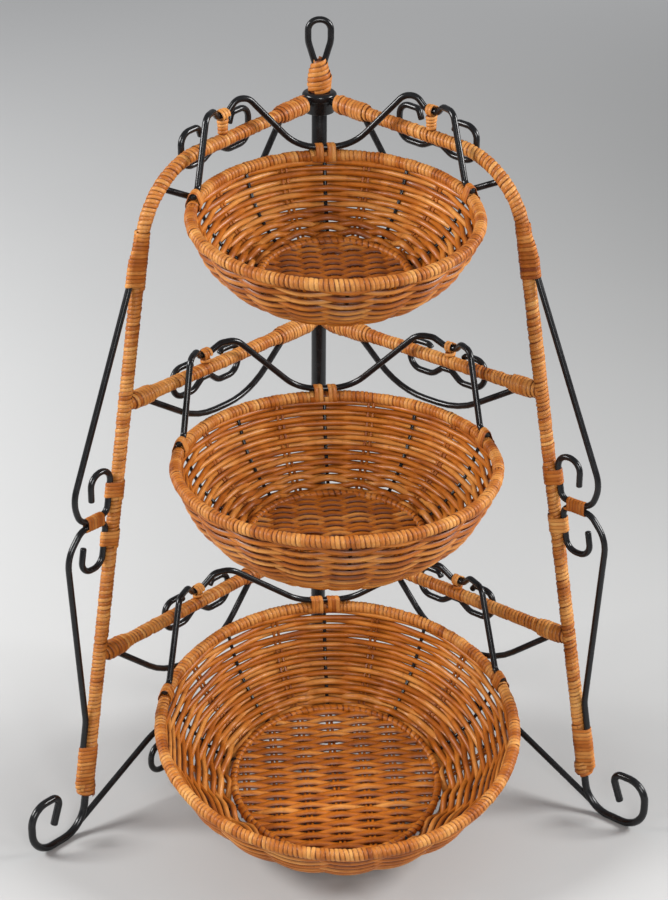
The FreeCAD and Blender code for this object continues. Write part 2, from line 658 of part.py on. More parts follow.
def build_floor_wires(side, pole_clear):
    """The brace from the foot to the pole, and the scroll that runs out near the floor."""
    brace = [
        (*foot_bend_middle(), 0),
        (S.brace_crest, S.brace_rise, S.brace_bend),
        (0, S.brace_root, 0),
    ]
    wire = rod(f"{side}_brace_wire", [(wing_point(side, r, z), bend) for r, z, bend in brace],
               "Sizes.wire_dia / 2")
    clear = rod(f"{side}_foot_clear", leg_corners(side, S.collar_dia / 2),
                "Sizes.rod_dia / 2 + Sizes.seat_gap", ROD_SIDES)
    part(cut(f"{side}_brace", wire, pole_clear, clear), f"{side}_floor_brace")
    end = S.floor_scroll_reach
    top = S.floor_scroll_height + S.floor_curl
    scroll = [
        (0, S.floor_scroll_height, 0),
        (end, S.floor_scroll_height, S.floor_curl_bend),
        (end, top, S.floor_curl_bend),
        (end - FLOOR_TIP_SHARE * S.floor_curl, top, 0),
    ]
    wire = rod(f"{side}_scroll_wire", [(wing_point(side, r, z), bend) for r, z, bend in scroll],
               "Sizes.wire_dia / 2")
    part(cut(f"{side}_scroll", wire, pole_clear), f"{side}_floor_scroll")


def build_wing_lashings(side):
    """Rattan bands that tie the wires to the leg and the hangers to the rails."""
    shoulder = wing_point(side, S.shoulder_reach, SHOULDER_Z)
    down = (wing_point(side, S.foot_reach, FOOT_Z) - shoulder).normalize()
    outward = wing_point(side, 1, 0)
    around = WRAP_R + S.seat_gap
    thin = WIRE_R + S.seat_gap
    side_by_side = WRAP_R + WIRE_R + S.seat_gap
    solids = []
    for height, length in (
        ((S.bow_top + S.bow_leave) / 2, S.shoulder_band),
        ((S.curl_top + S.bow_waist) / 2, S.curl_band),
        ((S.curl_bottom + S.bow_waist) / 2 - S.seat_gap, S.curl_band),
        (S.wrap_end + S.foot_band / 2, S.foot_band),
    ):
        middle = wing_point(side, leg_reach(height), height)
        solids.append(band(middle, down, outward, length, around, thin, side_by_side))
    step = (S.wire_dia + 2 * S.seat_gap) / 2
    waist = (WAIST_REACH + beside_leg(S.bow_waist)) / 2
    low = wing_point(side, waist, S.bow_waist - step)
    solids.append(band(low, outward, UP, S.waist_band, thin, thin, 2 * step))
    part(shaped(f"{side}_leg_lash", Part.makeCompound(solids)), f"{side}_leg_lashings")
    solids = []
    for tier in TIERS:
        reach = tier_size(tier, "hang_reach")
        middle = wing_point(side, reach, rail_z(tier, reach))
        solids.append(band(middle, rail_direction(tier, side), UP, S.rail_band, around,
                           WIRE_R + S.run_gap, tier_size(tier, "valley_rise")))
    part(shaped(f"{side}_rail_lash", Part.makeCompound(solids)), f"{side}_rail_lashings")


def basket_frame(tier):
    """Placement of a basket: rim centre, tilted forward about X."""
    lean = tier_size(tier, "lean_angle")
    radius = tier_size(tier, "rim_radius")
    behind = tier_size(tier, "back_gap") + radius * math.cos(math.radians(lean))
    return Placement(Vector(0, -behind, tier_size(tier, "rim_height")), Rotation(Vector(1, 0, 0), lean))


def bowl_radius(tier, height):
    """Radius of the middle of the wall at a height above the underside of the base."""
    depth = tier_size(tier, "depth")
    rim = tier_size(tier, "rim_radius")
    places = [(0.0, tier_size(tier, "base_radius"))]
    places += [(up * depth, out * rim) for up, out in BOWL_SHARES]
    places.append((depth, rim))
    for (low, near), (high, far) in zip(places, places[1:]):
        if height <= high:
            return near + (far - near) * (height - low) / (high - low)
    return rim


def bowl_wall(tier):
    """The woven wall as flat facets between level polygons, outside and inside, closed at both edges."""
    depth = tier_size(tier, "depth")
    heights = [0.0] + [up * depth for up, _ in BOWL_SHARES] + [depth - RIM_R - S.seat_gap]
    half = S.wall_thickness / 2
    outline = [(bowl_radius(tier, height) + half, height) for height in heights]
    outline += [(bowl_radius(tier, height) - half, height) for height in reversed(heights)]
    turns = [2 * math.pi * count / BASKET_SIDES for count in range(BASKET_SIDES)]
    rings = [[Vector(radius * math.cos(turn), radius * math.sin(turn), height) for turn in turns]
             for radius, height in outline]
    facets = []
    for low, high in zip(rings, rings[1:] + rings[:1]):
        for count in range(BASKET_SIDES):
            after = (count + 1) % BASKET_SIDES
            corners = [low[count], low[after], high[after], high[count], low[count]]
            facets.append(Part.Face(Part.makePolygon(corners)))
    return Part.Solid(Part.Shell(facets))


def build_basket(tier):
    """Woven wall with a flat base, wire ribs and a wrapped rim, hung from its own hanger."""
    frame = basket_frame(tier)
    foot = frame * Placement(Vector(0, 0, -tier_size(tier, "depth")), Rotation())
    notches = shaped(f"{tier}_notches", Part.makeCompound(build_hanger(tier, frame)))

    bowl = shaped(f"{tier}_bowl", bowl_wall(tier))
    bowl.Placement = foot
    part(cut(f"{tier}_wall", bowl, notches), f"{tier}_basket_wall")
    base = doc.addObject("Part::Prism", f"{tier}_base")
    base.Polygon = BASKET_SIDES
    base.setExpression("Circumradius",
                       f"Sizes.{tier}_base_radius - Sizes.wall_thickness / 2 - Sizes.seat_gap")
    base.setExpression("Height", "Sizes.base_thickness")
    base.Placement = foot
    part(base, f"{tier}_basket_base")
    rings = []
    for name, sign in (("outside", "+"), ("inside", "-")):
        corners = [(f"(Sizes.{tier}_rim_radius {sign} Sizes.rim_dia / 2 * {out}) * {RING_SHARE}",
                    f"Sizes.rim_dia / 2 * {up}" if up else "0") for out, up in RIM_SHARES]
        rings.append(stacked(f"{tier}_rim_{name}", corners, frame))
    part(cut(f"{tier}_rim", *rings), f"{tier}_basket_rim")
    build_ribs(tier, foot, notches)


def rib_line(tier, off):
    """Distances from the basket's axis and heights of a rib's line, a distance off the wall's inner face."""
    depth = tier_size(tier, "depth")
    heights = [0.0] + [up * depth for up, _ in BOWL_SHARES] + [depth]
    face = [Vector(bowl_radius(tier, height) - S.wall_thickness / 2, 0, height) for height in heights]
    ways = [(high - low).normalize() for low, high in zip(face, face[1:])]
    normals = [Vector(-way.z, 0, way.x) for way in ways]
    line = [face[0] + normals[0] * off]
    for place, below, above in zip(face[1:], normals, normals[1:]):
        line.append(place + (below + above) * (off / (1 + below.dot(above))))
    line.append(face[-1] + normals[-1] * off)
    low = S.base_thickness + S.seat_gap + off
    high = depth - RIM_R - 2 * S.seat_gap
    line[0] = line[0] + (line[1] - line[0]) * ((low - line[0].z) / (line[1].z - line[0].z))
    line[-1] = line[-2] + (line[-1] - line[-2]) * ((high - line[-2].z) / (line[-1].z - line[-2].z))
    return line


def build_ribs(tier, foot, notches):
    """Wire ribs inside the wall, from the base to the rim."""
    half = S.rib_dia / 2
    points = rib_line(tier, half + S.seat_gap)
    line = Part.makePolygon(points)
    facing = Rotation(UP, points[1] - points[0])
    section = Part.makePolygon([
        points[0] + facing.multVec(Rotation(UP, 360 * k / STRAND_SIDES).multVec(Vector(half, 0, 0)))
        for k in range(STRAND_SIDES + 1)])
    rib = line.makePipeShell([section], True, False, MITRED)
    ribs = []
    for count in range(RIBS_PER_BASKET):
        ribs.append(rib.rotated(Vector(0, 0, 0), UP, 360 / RIBS_PER_BASKET * count))
    group = shaped(f"{tier}_rib_set", Part.makeCompound(ribs))
    group.Placement = foot
    part(cut(f"{tier}_ribs", group, notches), f"{tier}_basket_ribs")


def build_hanger(tier, frame):
    """One bent wire: rim, over the rail, back rim, over the other rail, rim; and its rim lashings."""
    radius = tier_size(tier, "rim_radius")
    on_rim = RIM_R + WIRE_R + S.seat_gap
    azimuth = math.radians(S.lash_angle)
    lash, end = [Vector(-radius * math.cos(angle), radius * math.sin(angle), on_rim)
                 for angle in (azimuth, azimuth - S.hanger_tail / radius)]
    along = (end - lash).normalize()
    tail = frame.multVec(end)
    rim = frame.multVec(lash)
    reach = tier_size(tier, "hang_reach")
    valley = wing_point("left", reach, rail_z(tier, reach) + tier_size(tier, "valley_rise"))
    run = rail_direction(tier, "left") * (S.valley_run / 2)
    back = frame.multVec(Vector(-S.hanger_back, radius, on_rim))
    small, large = [UP * tier_size(tier, f"{hump}_rise") for hump in ("hump", "crest")]
    enter = valley - run
    leave = valley + run
    flat_rim = Vector(rim.x, rim.y, valley.z)
    flat_back = Vector(back.x, back.y, valley.z)
    humps = [flat_rim + (enter - flat_rim) * share + small for share in HUMP_SHARES]
    crests = [leave + (flat_back - leave) * share + large for share in CREST_SHARES]
    tight = S.hanger_bend
    half = [(tail, 0), (rim, tight)]
    half += [(hump, S.hump_bend) for hump in humps]
    half += [(enter, S.valley_bend), (leave, S.valley_bend)]
    half += [(crests[0], S.hump_bend), (crests[1], S.hanger_crest_bend), (back, S.hanger_back_bend)]
    other = [(Vector(-p.x, p.y, p.z), bend) for p, bend in reversed(half)]
    wire = rod(f"{tier}_hanger_wire", half + other, "Sizes.wire_dia / 2")
    part(wire, f"{tier}_basket_hanger")
    up = frame.Rotation.multVec(UP)
    hold = RIM_R + S.strand_air
    thin = WIRE_R + S.strand_air
    across = Vector(1, 0, 0)
    back_rim = frame.multVec(Vector(0, radius, 0))
    solids = [winding(back_rim, across, up, BACK_TURNS, hold, thin, on_rim)]
    wide = hold + S.strand_dia - S.band_wall + 2 * S.seat_gap
    length = S.strand_pitch * (BACK_TURNS + 1) + S.strand_dia
    notches = [band(back_rim, across, up, length, wide, wide, on_rim, False)]
    for sign in (-1, 1):
        middle = lash + along * (S.hanger_tail / 2 + tight / 2)
        middle = frame.multVec(Vector(-sign * middle.x, middle.y, 0))
        axis = frame.Rotation.multVec(Vector(-sign * along.x, along.y, 0))
        solids.append(band(middle, axis, up, S.rim_band, hold, thin, on_rim))
        wide = hold + 2 * S.seat_gap
        notches.append(band(middle, axis, up, S.rim_band + 4 * S.seat_gap, wide, wide, on_rim, False))
    part(shaped(f"{tier}_rim_lash", Part.makeCompound(solids)), f"{tier}_basket_lashings")
    return notches


build_pole()
build_carry_loop()
clear_pole = cylinder("pole_clear", Vector(0, 0, 0), UP, "Sizes.pole_dia / 2 + Sizes.seat_gap",
                      COLLAR_BASE_RULE)
for wing_side in SIDES:
    build_wing(wing_side)
    build_swags(wing_side)
    build_rail_scrolls(wing_side)
    build_leg_scrolls(wing_side)
    build_floor_wires(wing_side, clear_pole)
    build_wing_lashings(wing_side)
for basket_tier in TIERS:
    build_basket(basket_tier)
doc.recompute()

faults = [f"{obj.Name}: {obj.State}" for obj in doc.Objects if {"Invalid", "Error"} & set(obj.State)]
for obj in PARTS:
    if obj.Shape.isNull() or not obj.Shape.isValid() or not obj.Shape.Solids:
        faults.append(f"{obj.Label}: no valid solid")
if faults:
    raise RuntimeError("; ".join(faults))

os.makedirs("parts", exist_ok=True)
for obj in PARTS:
    obj.Shape.exportStep(f"parts/{obj.Label}.step")
print(f"{len(PARTS)} sub-parts, least gap between turns of a lashing {min(SELF_GAPS):.2f} mm")
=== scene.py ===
import math

import bpy
import numpy as np
from mathutils import Matrix, Vector


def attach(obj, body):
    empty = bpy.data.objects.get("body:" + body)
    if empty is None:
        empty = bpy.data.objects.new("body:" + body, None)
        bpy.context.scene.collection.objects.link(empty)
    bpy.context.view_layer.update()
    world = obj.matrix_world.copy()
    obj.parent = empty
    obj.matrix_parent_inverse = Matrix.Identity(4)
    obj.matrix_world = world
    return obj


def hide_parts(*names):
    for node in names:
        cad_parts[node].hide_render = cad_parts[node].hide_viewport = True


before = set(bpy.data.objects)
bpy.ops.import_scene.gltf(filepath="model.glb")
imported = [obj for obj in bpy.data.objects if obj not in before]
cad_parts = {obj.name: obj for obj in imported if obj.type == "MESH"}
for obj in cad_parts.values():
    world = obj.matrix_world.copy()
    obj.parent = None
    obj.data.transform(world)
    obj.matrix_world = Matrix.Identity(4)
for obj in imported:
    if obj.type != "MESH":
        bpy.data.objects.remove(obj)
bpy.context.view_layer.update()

bl_info = {
    "name": "Tiered Wicker Basket Stand",
    "version": (1, 0, 0),
    "blender": (4, 5, 0),
    "location": "View3D > Sidebar > Basket Stand",
    "description": "Wire, cane wrapping, weave and studio for a stand of three hanging wicker baskets",
    "category": "Object",
}

SIDES = {"left": -1, "right": 1}
TIERS = ("upper", "middle", "lower")
UP = np.array([0.0, 0.0, 1.0])

# Bends of wires and lines, and the edges that are shaded smooth.
BEND_SHARE = 0.49
WIRE_BEND_STEP = math.radians(8)
LINE_BEND_STEP = math.radians(3)
SMOOTH_ANGLE = math.radians(52)
WIRE_SIDES = 14
THICK_SIDES = 16

# Lengths of the stand in metres.
STAND_LENGTHS = {
    "seat_gap": (0.00015, "Between pieces that touch"),
    "wire_dia": (0.0058, "Scrolls, swags, braces and hangers"),
    "pole_dia": (0.014, "Centre pole"),
    "plug_flange": (0.003, "Foot plug under the pole end"),
    "collar_dia": (0.027, "Collar body"),
    "collar_under": (0.0135, "Underside of the collar below the arm axis"),
    "collar_height": (0.012, "Collar body"),
    "flange_dia": (0.0315, "Collar flange"),
    "flange_height": (0.0075, "Collar flange"),
    "flange_edge": (0.002, "Chamfer of the flange"),
    "loop_wire_dia": (0.006, "Carrying loop"),
    "loop_rise": (0.066, "Top of the loop above the collar"),
    "loop_width": (0.0204, "Across the loop's wire centres"),
    "loop_neck": (0.023, "Upright legs of the loop"),
    "loop_bend": (0.02, "Bend where the loop's legs part"),
    "loop_band": (0.0285, "Binding of the loop's legs"),
    "loop_band_dia": (0.0225, "Across the binding of the loop's legs"),
    "arm_bare": (0.006, "Arm rod left bare beside the collar"),
    "rod_dia": (0.007, "Arm, leg and foot rod"),
    "wrap_dia": (0.0124, "Over the cane wrapping"),
    "arm_height": (0.6215, "Arm at the collar"),
    "arm_drop": (0.0155, "Fall of the arm to the shoulder"),
    "shoulder_reach": (0.222, "Shoulder corner from the pole axis"),
    "shoulder_bend": (0.078, "Bend from arm to leg"),
    "foot_reach": (0.333, "Foot corner from the pole axis"),
    "foot_bend": (0.028, "Bend from leg to foot scroll"),
    "foot_scroll": (0.048, "Height of the foot scroll"),
    "foot_tip_bend": (0.0075, "Bend before the tip of the foot scroll"),
    "foot_flat": (0.0004, "Flat filed under the foot"),
    "wrap_end": (0.038, "Lower end of the leg wrapping"),
    "middle_rail_height": (0.405, "Middle rail"),
    "lower_rail_height": (0.172, "Lower rail"),
    "shoulder_fall": (0.029, "Upper swag's outer end below its inner end"),
    "swag_bend": (0.085, "Bends of the swag wires"),
    "lyre_reach": (0.043, "Half width of a rail scroll"),
    "lyre_bend": (0.013, "Round ends of a rail scroll"),
    "lyre_tip_bend": (0.005, "Tips of a rail scroll"),
    "bow_top": (0.524, "Upper end of the upper leg scroll"),
    "bow_leave": (0.512, "Upper leg scroll leaves the leg"),
    "bow_waist": (0.3063, "Centre binding of the leg scrolls"),
    "bow_waist_out": (0.031, "Outer end of the centre binding beyond a wire on the leg"),
    "bow_upper_out": (0.0443, "Outermost corner of the upper leg scroll beyond a wire on the leg"),
    "bow_upper_height": (0.333, "That corner above the floor"),
    "bow_lower_out": (0.0446, "Outermost corner of the lower leg scroll beyond a wire on the leg"),
    "bow_lower_height": (0.283, "That corner above the floor"),
    "bow_join": (0.112, "Lower leg scroll meets the leg"),
    "bow_foot": (0.046, "Lower end of the lower leg scroll"),
    "bow_bend": (0.03, "Outer corners of the leg scrolls"),
    "bow_waist_bend": (0.014, "Bends outside the centre binding"),
    "bow_inner_bend": (0.008, "Bends between the centre binding and the leg"),
    "curl_top": (0.351, "Top of the upper curl"),
    "curl_bottom": (0.261, "Bottom of the lower curl"),
    "curl_width": (0.0255, "Curls across their wire centres"),
    "curl_drop": (0.025, "Tip of a curl from its end"),
    "curl_bend": (0.0124, "Round ends of the curls"),
    "brace_rise": (0.062, "Crest of the floor brace"),
    "brace_crest": (0.232, "That crest from the pole axis"),
    "brace_root": (0.05, "Floor brace at the pole"),
    "brace_bend": (0.06, "Crest of the floor brace"),
    "floor_scroll_height": (0.016, "Floor scroll above the floor"),
    "floor_scroll_reach": (0.241, "End of the floor scroll from the pole axis"),
    "floor_curl": (0.028, "Curl of the floor scroll"),
    "floor_curl_bend": (0.013, "Round end of the floor scroll"),
    "rail_band": (0.0078, "Rail binding along the rail"),
    "curl_band": (0.019, "Leg binding beside a curl"),
    "waist_band": (0.024, "Binding where the leg scrolls meet"),
    "shoulder_band": (0.052, "Leg binding under the shoulder"),
    "foot_band": (0.05, "Leg binding above the foot"),
    "run_gap": (0.0009, "Round a hanger where it turns in its binding"),
    "rim_dia": (0.01, "Wrapped rim of a basket"),
    "rim_band": (0.015, "Rim binding at a basket's side"),
    "rib_dia": (0.0034, "Wire rib of a basket"),
    "hanger_tail": (0.016, "Hanger end along the rim"),
    "hanger_bend": (0.0065, "Tight bends of a hanger"),
    "hump_bend": (0.01, "Small humps of a hanger"),
    "hanger_crest_bend": (0.026, "Large hump of a hanger"),
    "hanger_back_bend": (0.04, "Bends of a hanger beside the back binding"),
    "hanger_back": (0.024, "Half length of the hanger along the back rim"),
    "valley_run": (0.014, "Hanger along the rail at the binding"),
    "valley_bend": (0.005, "Bends of the hanger beside the binding"),
    "strip_width": (0.0037, "Flat cane strip"),
    "strip_thickness": (0.00045, "Half thickness of a flat cane strip"),
    "band_strip": (0.0038, "Flat cane strip of the bindings"),
    "knot_rise": (0.0024, "Extra layers of cane where wires are tied in"),
    "weaver_dia": (0.0053, "Cane of the weave, along the wall"),
    "weaver_thickness": (0.0041, "Cane of the weave, through the wall"),
    "row_pitch": (0.00465, "From row to row of the wall"),
    "stake_dia": (0.0029, "Cane stakes of the wall and base"),
}

# Lengths of the baskets in metres: upper, middle, lower.
BASKET_LENGTHS = {
    "rim_radius": ((0.1228, 0.1412, 0.161), "Rim centre line"),
    "rim_height": ((0.5732, 0.353, 0.104), "Rim centre above the floor"),
    "back_gap": ((0.062, 0.069, 0.078), "Back of the rim in front of the pole axis"),
    "depth": ((0.062, 0.075, 0.078), "Rim centre to the underside of the base"),
    "base_radius": ((0.068, 0.081, 0.098), "Middle of the wall at the base"),
    "hang_reach": ((0.129, 0.1566, 0.173), "Rail binding from the pole axis"),
    "valley_rise": ((0.0235, 0.0145, 0.014), "Hanger's valley above the rail axis"),
    "hump_rise": ((0.0075, 0.008, 0.01), "Hanger's small humps above its valley"),
    "crest_rise": ((0.0106, 0.0065, 0.0117), "Hanger's large humps above its valley"),
    "lyre_inset": ((0.0, 0.01, 0.008), "Rail scroll's middle inside of the rail binding"),
    "lyre_dip": ((0.015, 0.022, 0.02), "Rail scroll below the rail axis"),
    "lyre_crown": ((0.017, 0.006, 0.009), "Rail scroll above the rail axis"),
    "swag_start": ((0.05, 0.046, 0.095), "Swag's inner end from the pole axis"),
    "swag_end": ((0.207, 0.24, 0.288), "Swag's outer end from the pole axis"),
    "swag_drop": ((0.051, 0.044, 0.057), "Swag below the rail"),
    "back_band": ((0.026, 0.030, 0.036), "Rim binding at the back"),
}

# Corners of wires, the loop's binding and the bowl in shares of the lengths above.
FOOT_SHARES = ((1.27, 0.0), (1.27, 1.0), (0.5, 1.0), (0.72, 0.42))
LYRE_SHARES = ((0.12, -0.6), (0.38, -1.0), (1.0, -1.0), (1.0, 1.0), (0.5, 1.0), (0.42, 0.45))
SWAG_SHARES = (0.27, 0.63)
HUMP_SHARES = (0.48, 0.82)
CREST_SHARES = (0.12, 0.29)
FLOOR_TIP_SHARE = 0.93
LOOP_SHOULDER_SHARE = 0.7
LOOP_BAND_SHARES = ((0.0, 0.87), (0.15, 0.98), (0.45, 1.0), (0.75, 0.78), (1.0, 0.57))
BOWL_SHARES = ((0.2, 0.74), (0.52, 0.9))

# Section of a flat strip in shares of half width and half thickness, and nearness to an edge, which
# weights the painted shade there.
STRIP = ((1.0, -0.4, 1.0), (0.74, 0.6, 0.55), (0.25, 1.0, 0.0), (-0.25, 1.0, 0.0), (-0.74, 0.6, 0.55),
         (-1.0, -0.4, 1.0), (0.0, -0.9, 1.0))

# Rounded tips: way in and size of a cane strand, and bevel of a wire, in shares of the radius.
TIP_SHARES = ((0.0, 0.7), (0.2, 0.92), (0.5, 1.0))
WIRE_TIP_SHARE = 0.42

# Turned pieces: rounding of their edges in metres, and sides.
TURNED_EDGE = 0.0005
TURNED_SIDES = 48

# Wound cane: metres, shares of a strip's width or half thickness, and tones from dark 0 to pale 1.
LINE_SPACING = 0.002
EVEN_TONE = 0.5
CORE_TONE = 0.2
CORE_SIDES = 10
CORE_POINTS = 200
CORE_SINK = 1.5
WRAP_LOOSENESS = 0.00022
WRAP_SLANT = 0.0004
WRAP_TONE_SWING = 0.11
WRAP_TONE_PACE = 0.7
WRAP_WIDTH_SWING = 0.1
BINDING_LIFT = 0.8
BINDING_LIFT_SWING = 0.3
BINDING_TONE_SWING = 0.15
BINDING_HALF_SHARE = 0.51
BINDING_WIDTH_SWING = 0.07
BINDING_TAPER = 0.9
BINDING_TAPER_POWER = 1.3
SHOULDER_TONE = 0.46
LOOP_PALE = -0.02
KNOT_PALE = 0.08
RIM_PALE = (0.01, 0.02)

# Widths of the cane strips that differ from the usual ones, in metres.
LOOP_STRIP = 0.0042
WAIST_STRIP = 0.0036
POST_STRIP = 0.0032
EYE_STRIP = 0.0034
RIM_STRIP = 0.004
BACK_STRIP = 0.0043
FOOT_RING_STRIP = 0.0058

# Thick places of the wrapping along an arm, their half lengths, and their way in from a rail's end.
ARM_KNOTS = (0.008, 0.024)
LEG_KNOT = 0.0105
RAIL_KNOT = 0.0125
RAIL_KNOT_INSET = 0.02
KNOT_STEEPNESS = 8

# Bindings, in metres: shoulder, post on a rail with the layers of its eye, rim, and back of the rim.
SHOULDER_OVERLAP = 0.006
POST_RADIUS = 0.0044
POST_FLARE = 0.0008
EYE_LAYERS = 3.5
RIM_FULLNESS = 0.0004
RIM_HOLD = 0.0009
HANGER_HOLD = 0.0003
BACK_SPLIT = 0.001
BACK_OVERLAP = 0.0006
BACK_INSET = 0.0003

# Columns of the weave, and points and sides in the baskets.
COLUMNS = 20
POINTS_PER_COLUMN = 10
WEAVER_SIDES = 8
RIB_SIDES = 8
RIB_POINTS = 16
STAKE_SIDES = 6
STAKE_POINTS = 14
BASE_STAKE_POINTS = 12
RIM_POINTS = 241

# Ribs in metres: start along the wall, and way in and rise of the two points of the hooked foot.
RIB_START = 0.006
RIB_HOOK = ((0.009, 0.0045), (0.003, 0.0035))

# Walls: metres, tones, and shares of a strand's size.
FIRST_ROW = 0.0045
LAST_ROW_GAP = 0.001
WEAVE_SWING = 0.0026
FOOT_SWING = 0.0012
FOOT_PINCH = 0.0018
FOOT_FULLNESS = 0.3
ROW_WAVES = (2, 3, 5, 7)
ROW_WAVER_OUT = 0.00012
ROW_WAVER_UP = 0.00014
ROW_SHIFT = 0.0002
MERIDIAN_STEP = 0.0005
STRAND_SIZE_SWING = 0.05
WALL_TONE = 0.57
WALL_TONE_SWING = 0.10
WALL_TONE_WAVER = 0.08
WALL_TONE_LIMITS = (0.3, 0.72)
STAKE_SHIFT = 0.0023
STAKE_END = 0.003
STAKE_TONE = 0.3
STAKE_TONE_SWING = 0.12
FOOT_RING_INSET = 0.0035
FOOT_RING_HEIGHT = 0.0062
FOOT_RING_RADIUS = 0.0038

# Bases: metres, tones, shares of a strand's size, and stake pairs on each side of the middle one.
BASE_INSET = 0.0015
BASE_LEVEL = 0.0038
BASE_MARGIN = 0.003
BASE_STEP = 0.003
BASE_STAKES = 3
BASE_STAKE_SHIFT = 0.0021
BASE_STAKE_TONE_SWING = 0.1
BASE_SWING = 0.0023
BASE_WAVER = 0.0004
BASE_WAVER_PACE = (20, 60)
BASE_BOW = 0.0012
BASE_BOW_PACE = 26
BASE_BOW_START = 0.4
BASE_FULLNESS = 1.17
BASE_TONE_SWING = 0.11

# First seed of each group of random draws.
SEEDS = {"loop": 11, "leg": 21, "rail": 31, "leg_binding": 51, "waist": 57, "post": 71, "eye": 81,
         "wall": 100, "base": 120, "rim": 150, "foot_ring": 150, "back": 160, "side": 170}

# Material slot of each finish, and what sets the cane finishes apart.
SLOTS = {"wire": "black_wire", "wrap": "rattan_wrap", "rim": "rattan_wrap", "weave": "rattan_weave",
         "binding": "rattan_lash"}
# crevice_shade sets how strongly painted shade darkens the edges of strips and strands.
CANE_LOOKS = {
    "wrap": {"gloss": 0.46, "fibre_bump": 0.45, "bleach": 0.32, "crevice_shade": 0.65},
    "weave": {"gloss": 0.3, "fibre_bump": 0.6, "bleach": 0.03, "crevice_shade": 1.0},
    "binding": {"gloss": 0.46, "fibre_bump": 0.45, "bleach": 0.2, "crevice_shade": 0.65},
    "rim": {"gloss": 0.5, "fibre_bump": 0.45, "bleach": 0.24, "crevice_shade": 0.6},
}

# Noise of the cane: paces along a strand, round it and by its tone, or over the part, and depth.
GRAIN_PACE = (55.0, 26.0, 9.0)
VEIN_PACE = (18.0, 60.0, 5.0)
BLOTCH_SCALE = 60.0
STAIN_SCALE = 170.0
FIBRE_DEPTH = 0.0004
# Darkness of the painted crevice shade, as a share of the dark cane colour.
CREVICE_SHADE_SHARE = 0.55

# Coating of the wire: noise scales, strength and depth of its bump, and brightness of worn spots.
MOTTLE_SCALE = 120.0
PEEL_SCALE = 700.0
PEEL_BUMP = 0.12
PEEL_DEPTH = 0.0003
WORN_SHARE = 2.6

# Floor light: start and rate of ramps in metres, or metres squared, and constant, slope and square
# of curves by the way back.
FLOOR_SIZE = 30.0
FLOOR_ACROSS = (-0.5, 0.67)
FLOOR_AWAY = (-0.4, 0.33)
FLOOR_BEFORE = (-0.35, -0.9)
FLOOR_LAMPS = (0.12, 0.95)
FLOOR_LAMPS_FADE = 1.6
FLOOR_LENGTHWAYS = (0.22, 1.43, -0.92)
FLOOR_CROSSWISE = (0.01, -3.65, 3.58)

# Lamps and camera: places in metres, power in watts, angles in degrees, lens in millimetres.
LAMPS = {
    "studio_left": ((-2.2, -0.3, 1.6), 74),
    "studio_right": ((2.2, -0.4, 1.5), 74),
    "studio_front": ((0.2, -2.7, 1.3), 36),
}
LAMP_AIM = (0, -0.15, 0.3)
LAMP_SIZE = 1.0
SKY_TINT = (0.93, 0.95, 1.0, 1.0)
SKY_STRENGTH = 0.3
CAMERA_PLACE = (-0.1642, -2.1264, 1.2798)
CAMERA_YAW, CAMERA_PITCH, CAMERA_TILT = 4.82, 25.38, 0.32
CAMERA_LENS = 97.56
CAMERA_SENSOR = 36.0
CAMERA_CLIP = 60.0


def length(note, default):
    return bpy.props.FloatProperty(name=note, description=note, default=default, min=0.0, unit="LENGTH")


class StandSizes(bpy.types.PropertyGroup):
    """Lengths of the pole, wings, wires and cane."""
    __annotations__ = {name: length(note, value) for name, (value, note) in STAND_LENGTHS.items()}
    __annotations__["wing_angle"] = bpy.props.FloatProperty(
        name="Wing angle", description="Each wing from straight ahead", default=math.radians(45),
        subtype="ANGLE")
    __annotations__["lash_angle"] = bpy.props.FloatProperty(
        name="Side binding angle", description="Side bindings behind a basket's middle",
        default=math.radians(20), subtype="ANGLE")


class BasketSizes(bpy.types.PropertyGroup):
    """Lengths of the three baskets: upper, middle, lower."""
    __annotations__ = {
        name: bpy.props.FloatVectorProperty(name=note, description=f"{note}: upper, middle, lower",
                                            size=3, default=values, unit="LENGTH")
        for name, (values, note) in BASKET_LENGTHS.items()
    }
    __annotations__["lean_angle"] = bpy.props.FloatVectorProperty(
        name="Rim tilt", description="Rim tilted forward: upper, middle, lower", size=3,
        subtype="EULER", default=(math.radians(6.6), math.radians(1.2), math.radians(12.5)))


def colour(label, note, default):
    return bpy.props.FloatVectorProperty(name=label, description=note, size=3, subtype="COLOR",
                                         default=default, min=0.0, max=1.0)


class FinishColours(bpy.types.PropertyGroup):
    """Colours of the cane, wire and floor."""
    cane_dark: colour("Dark cane", "Crevices and old strips", (0.17, 0.032, 0.002))
    cane_honey: colour("Honey cane", "Most strands", (0.66, 0.195, 0.011))
    cane_straw: colour("Straw cane", "Pale strips", (0.72, 0.43, 0.14))
    wire_black: colour("Black wire", "Satin coating", (0.007, 0.007, 0.0075))
    floor_pale: colour("Pale floor", "Studio floor", (0.82, 0.82, 0.81))
    floor_dim: colour("Dim floor", "Studio floor far from the lamp", (0.36, 0.36, 0.355))


GROUPS = {
    "basket_finish_colours": FinishColours,
    "basket_tier_sizes": BasketSizes,
    "basket_stand_sizes": StandSizes,
}


def stand():
    return bpy.context.scene.basket_stand_sizes


def tier_size(tier, key):
    return getattr(bpy.context.scene.basket_tier_sizes, key)[TIERS.index(tier)]


# Lines of the wings

def shoulder_z():
    return stand().arm_height - stand().arm_drop


def foot_z():
    return stand().rod_dia / 2 - stand().foot_flat


def leg_slope():
    return (stand().foot_reach - stand().shoulder_reach) / (shoulder_z() - foot_z())


def arm_z(reach):
    return stand().arm_height - stand().arm_drop * reach / stand().shoulder_reach


def leg_reach(height):
    return stand().shoulder_reach + leg_slope() * (shoulder_z() - height)


def on_wrap():
    """From the axis of a wrapped rod to that of a wire on it."""
    return stand().wrap_dia / 2 + stand().wire_dia / 2 + stand().seat_gap


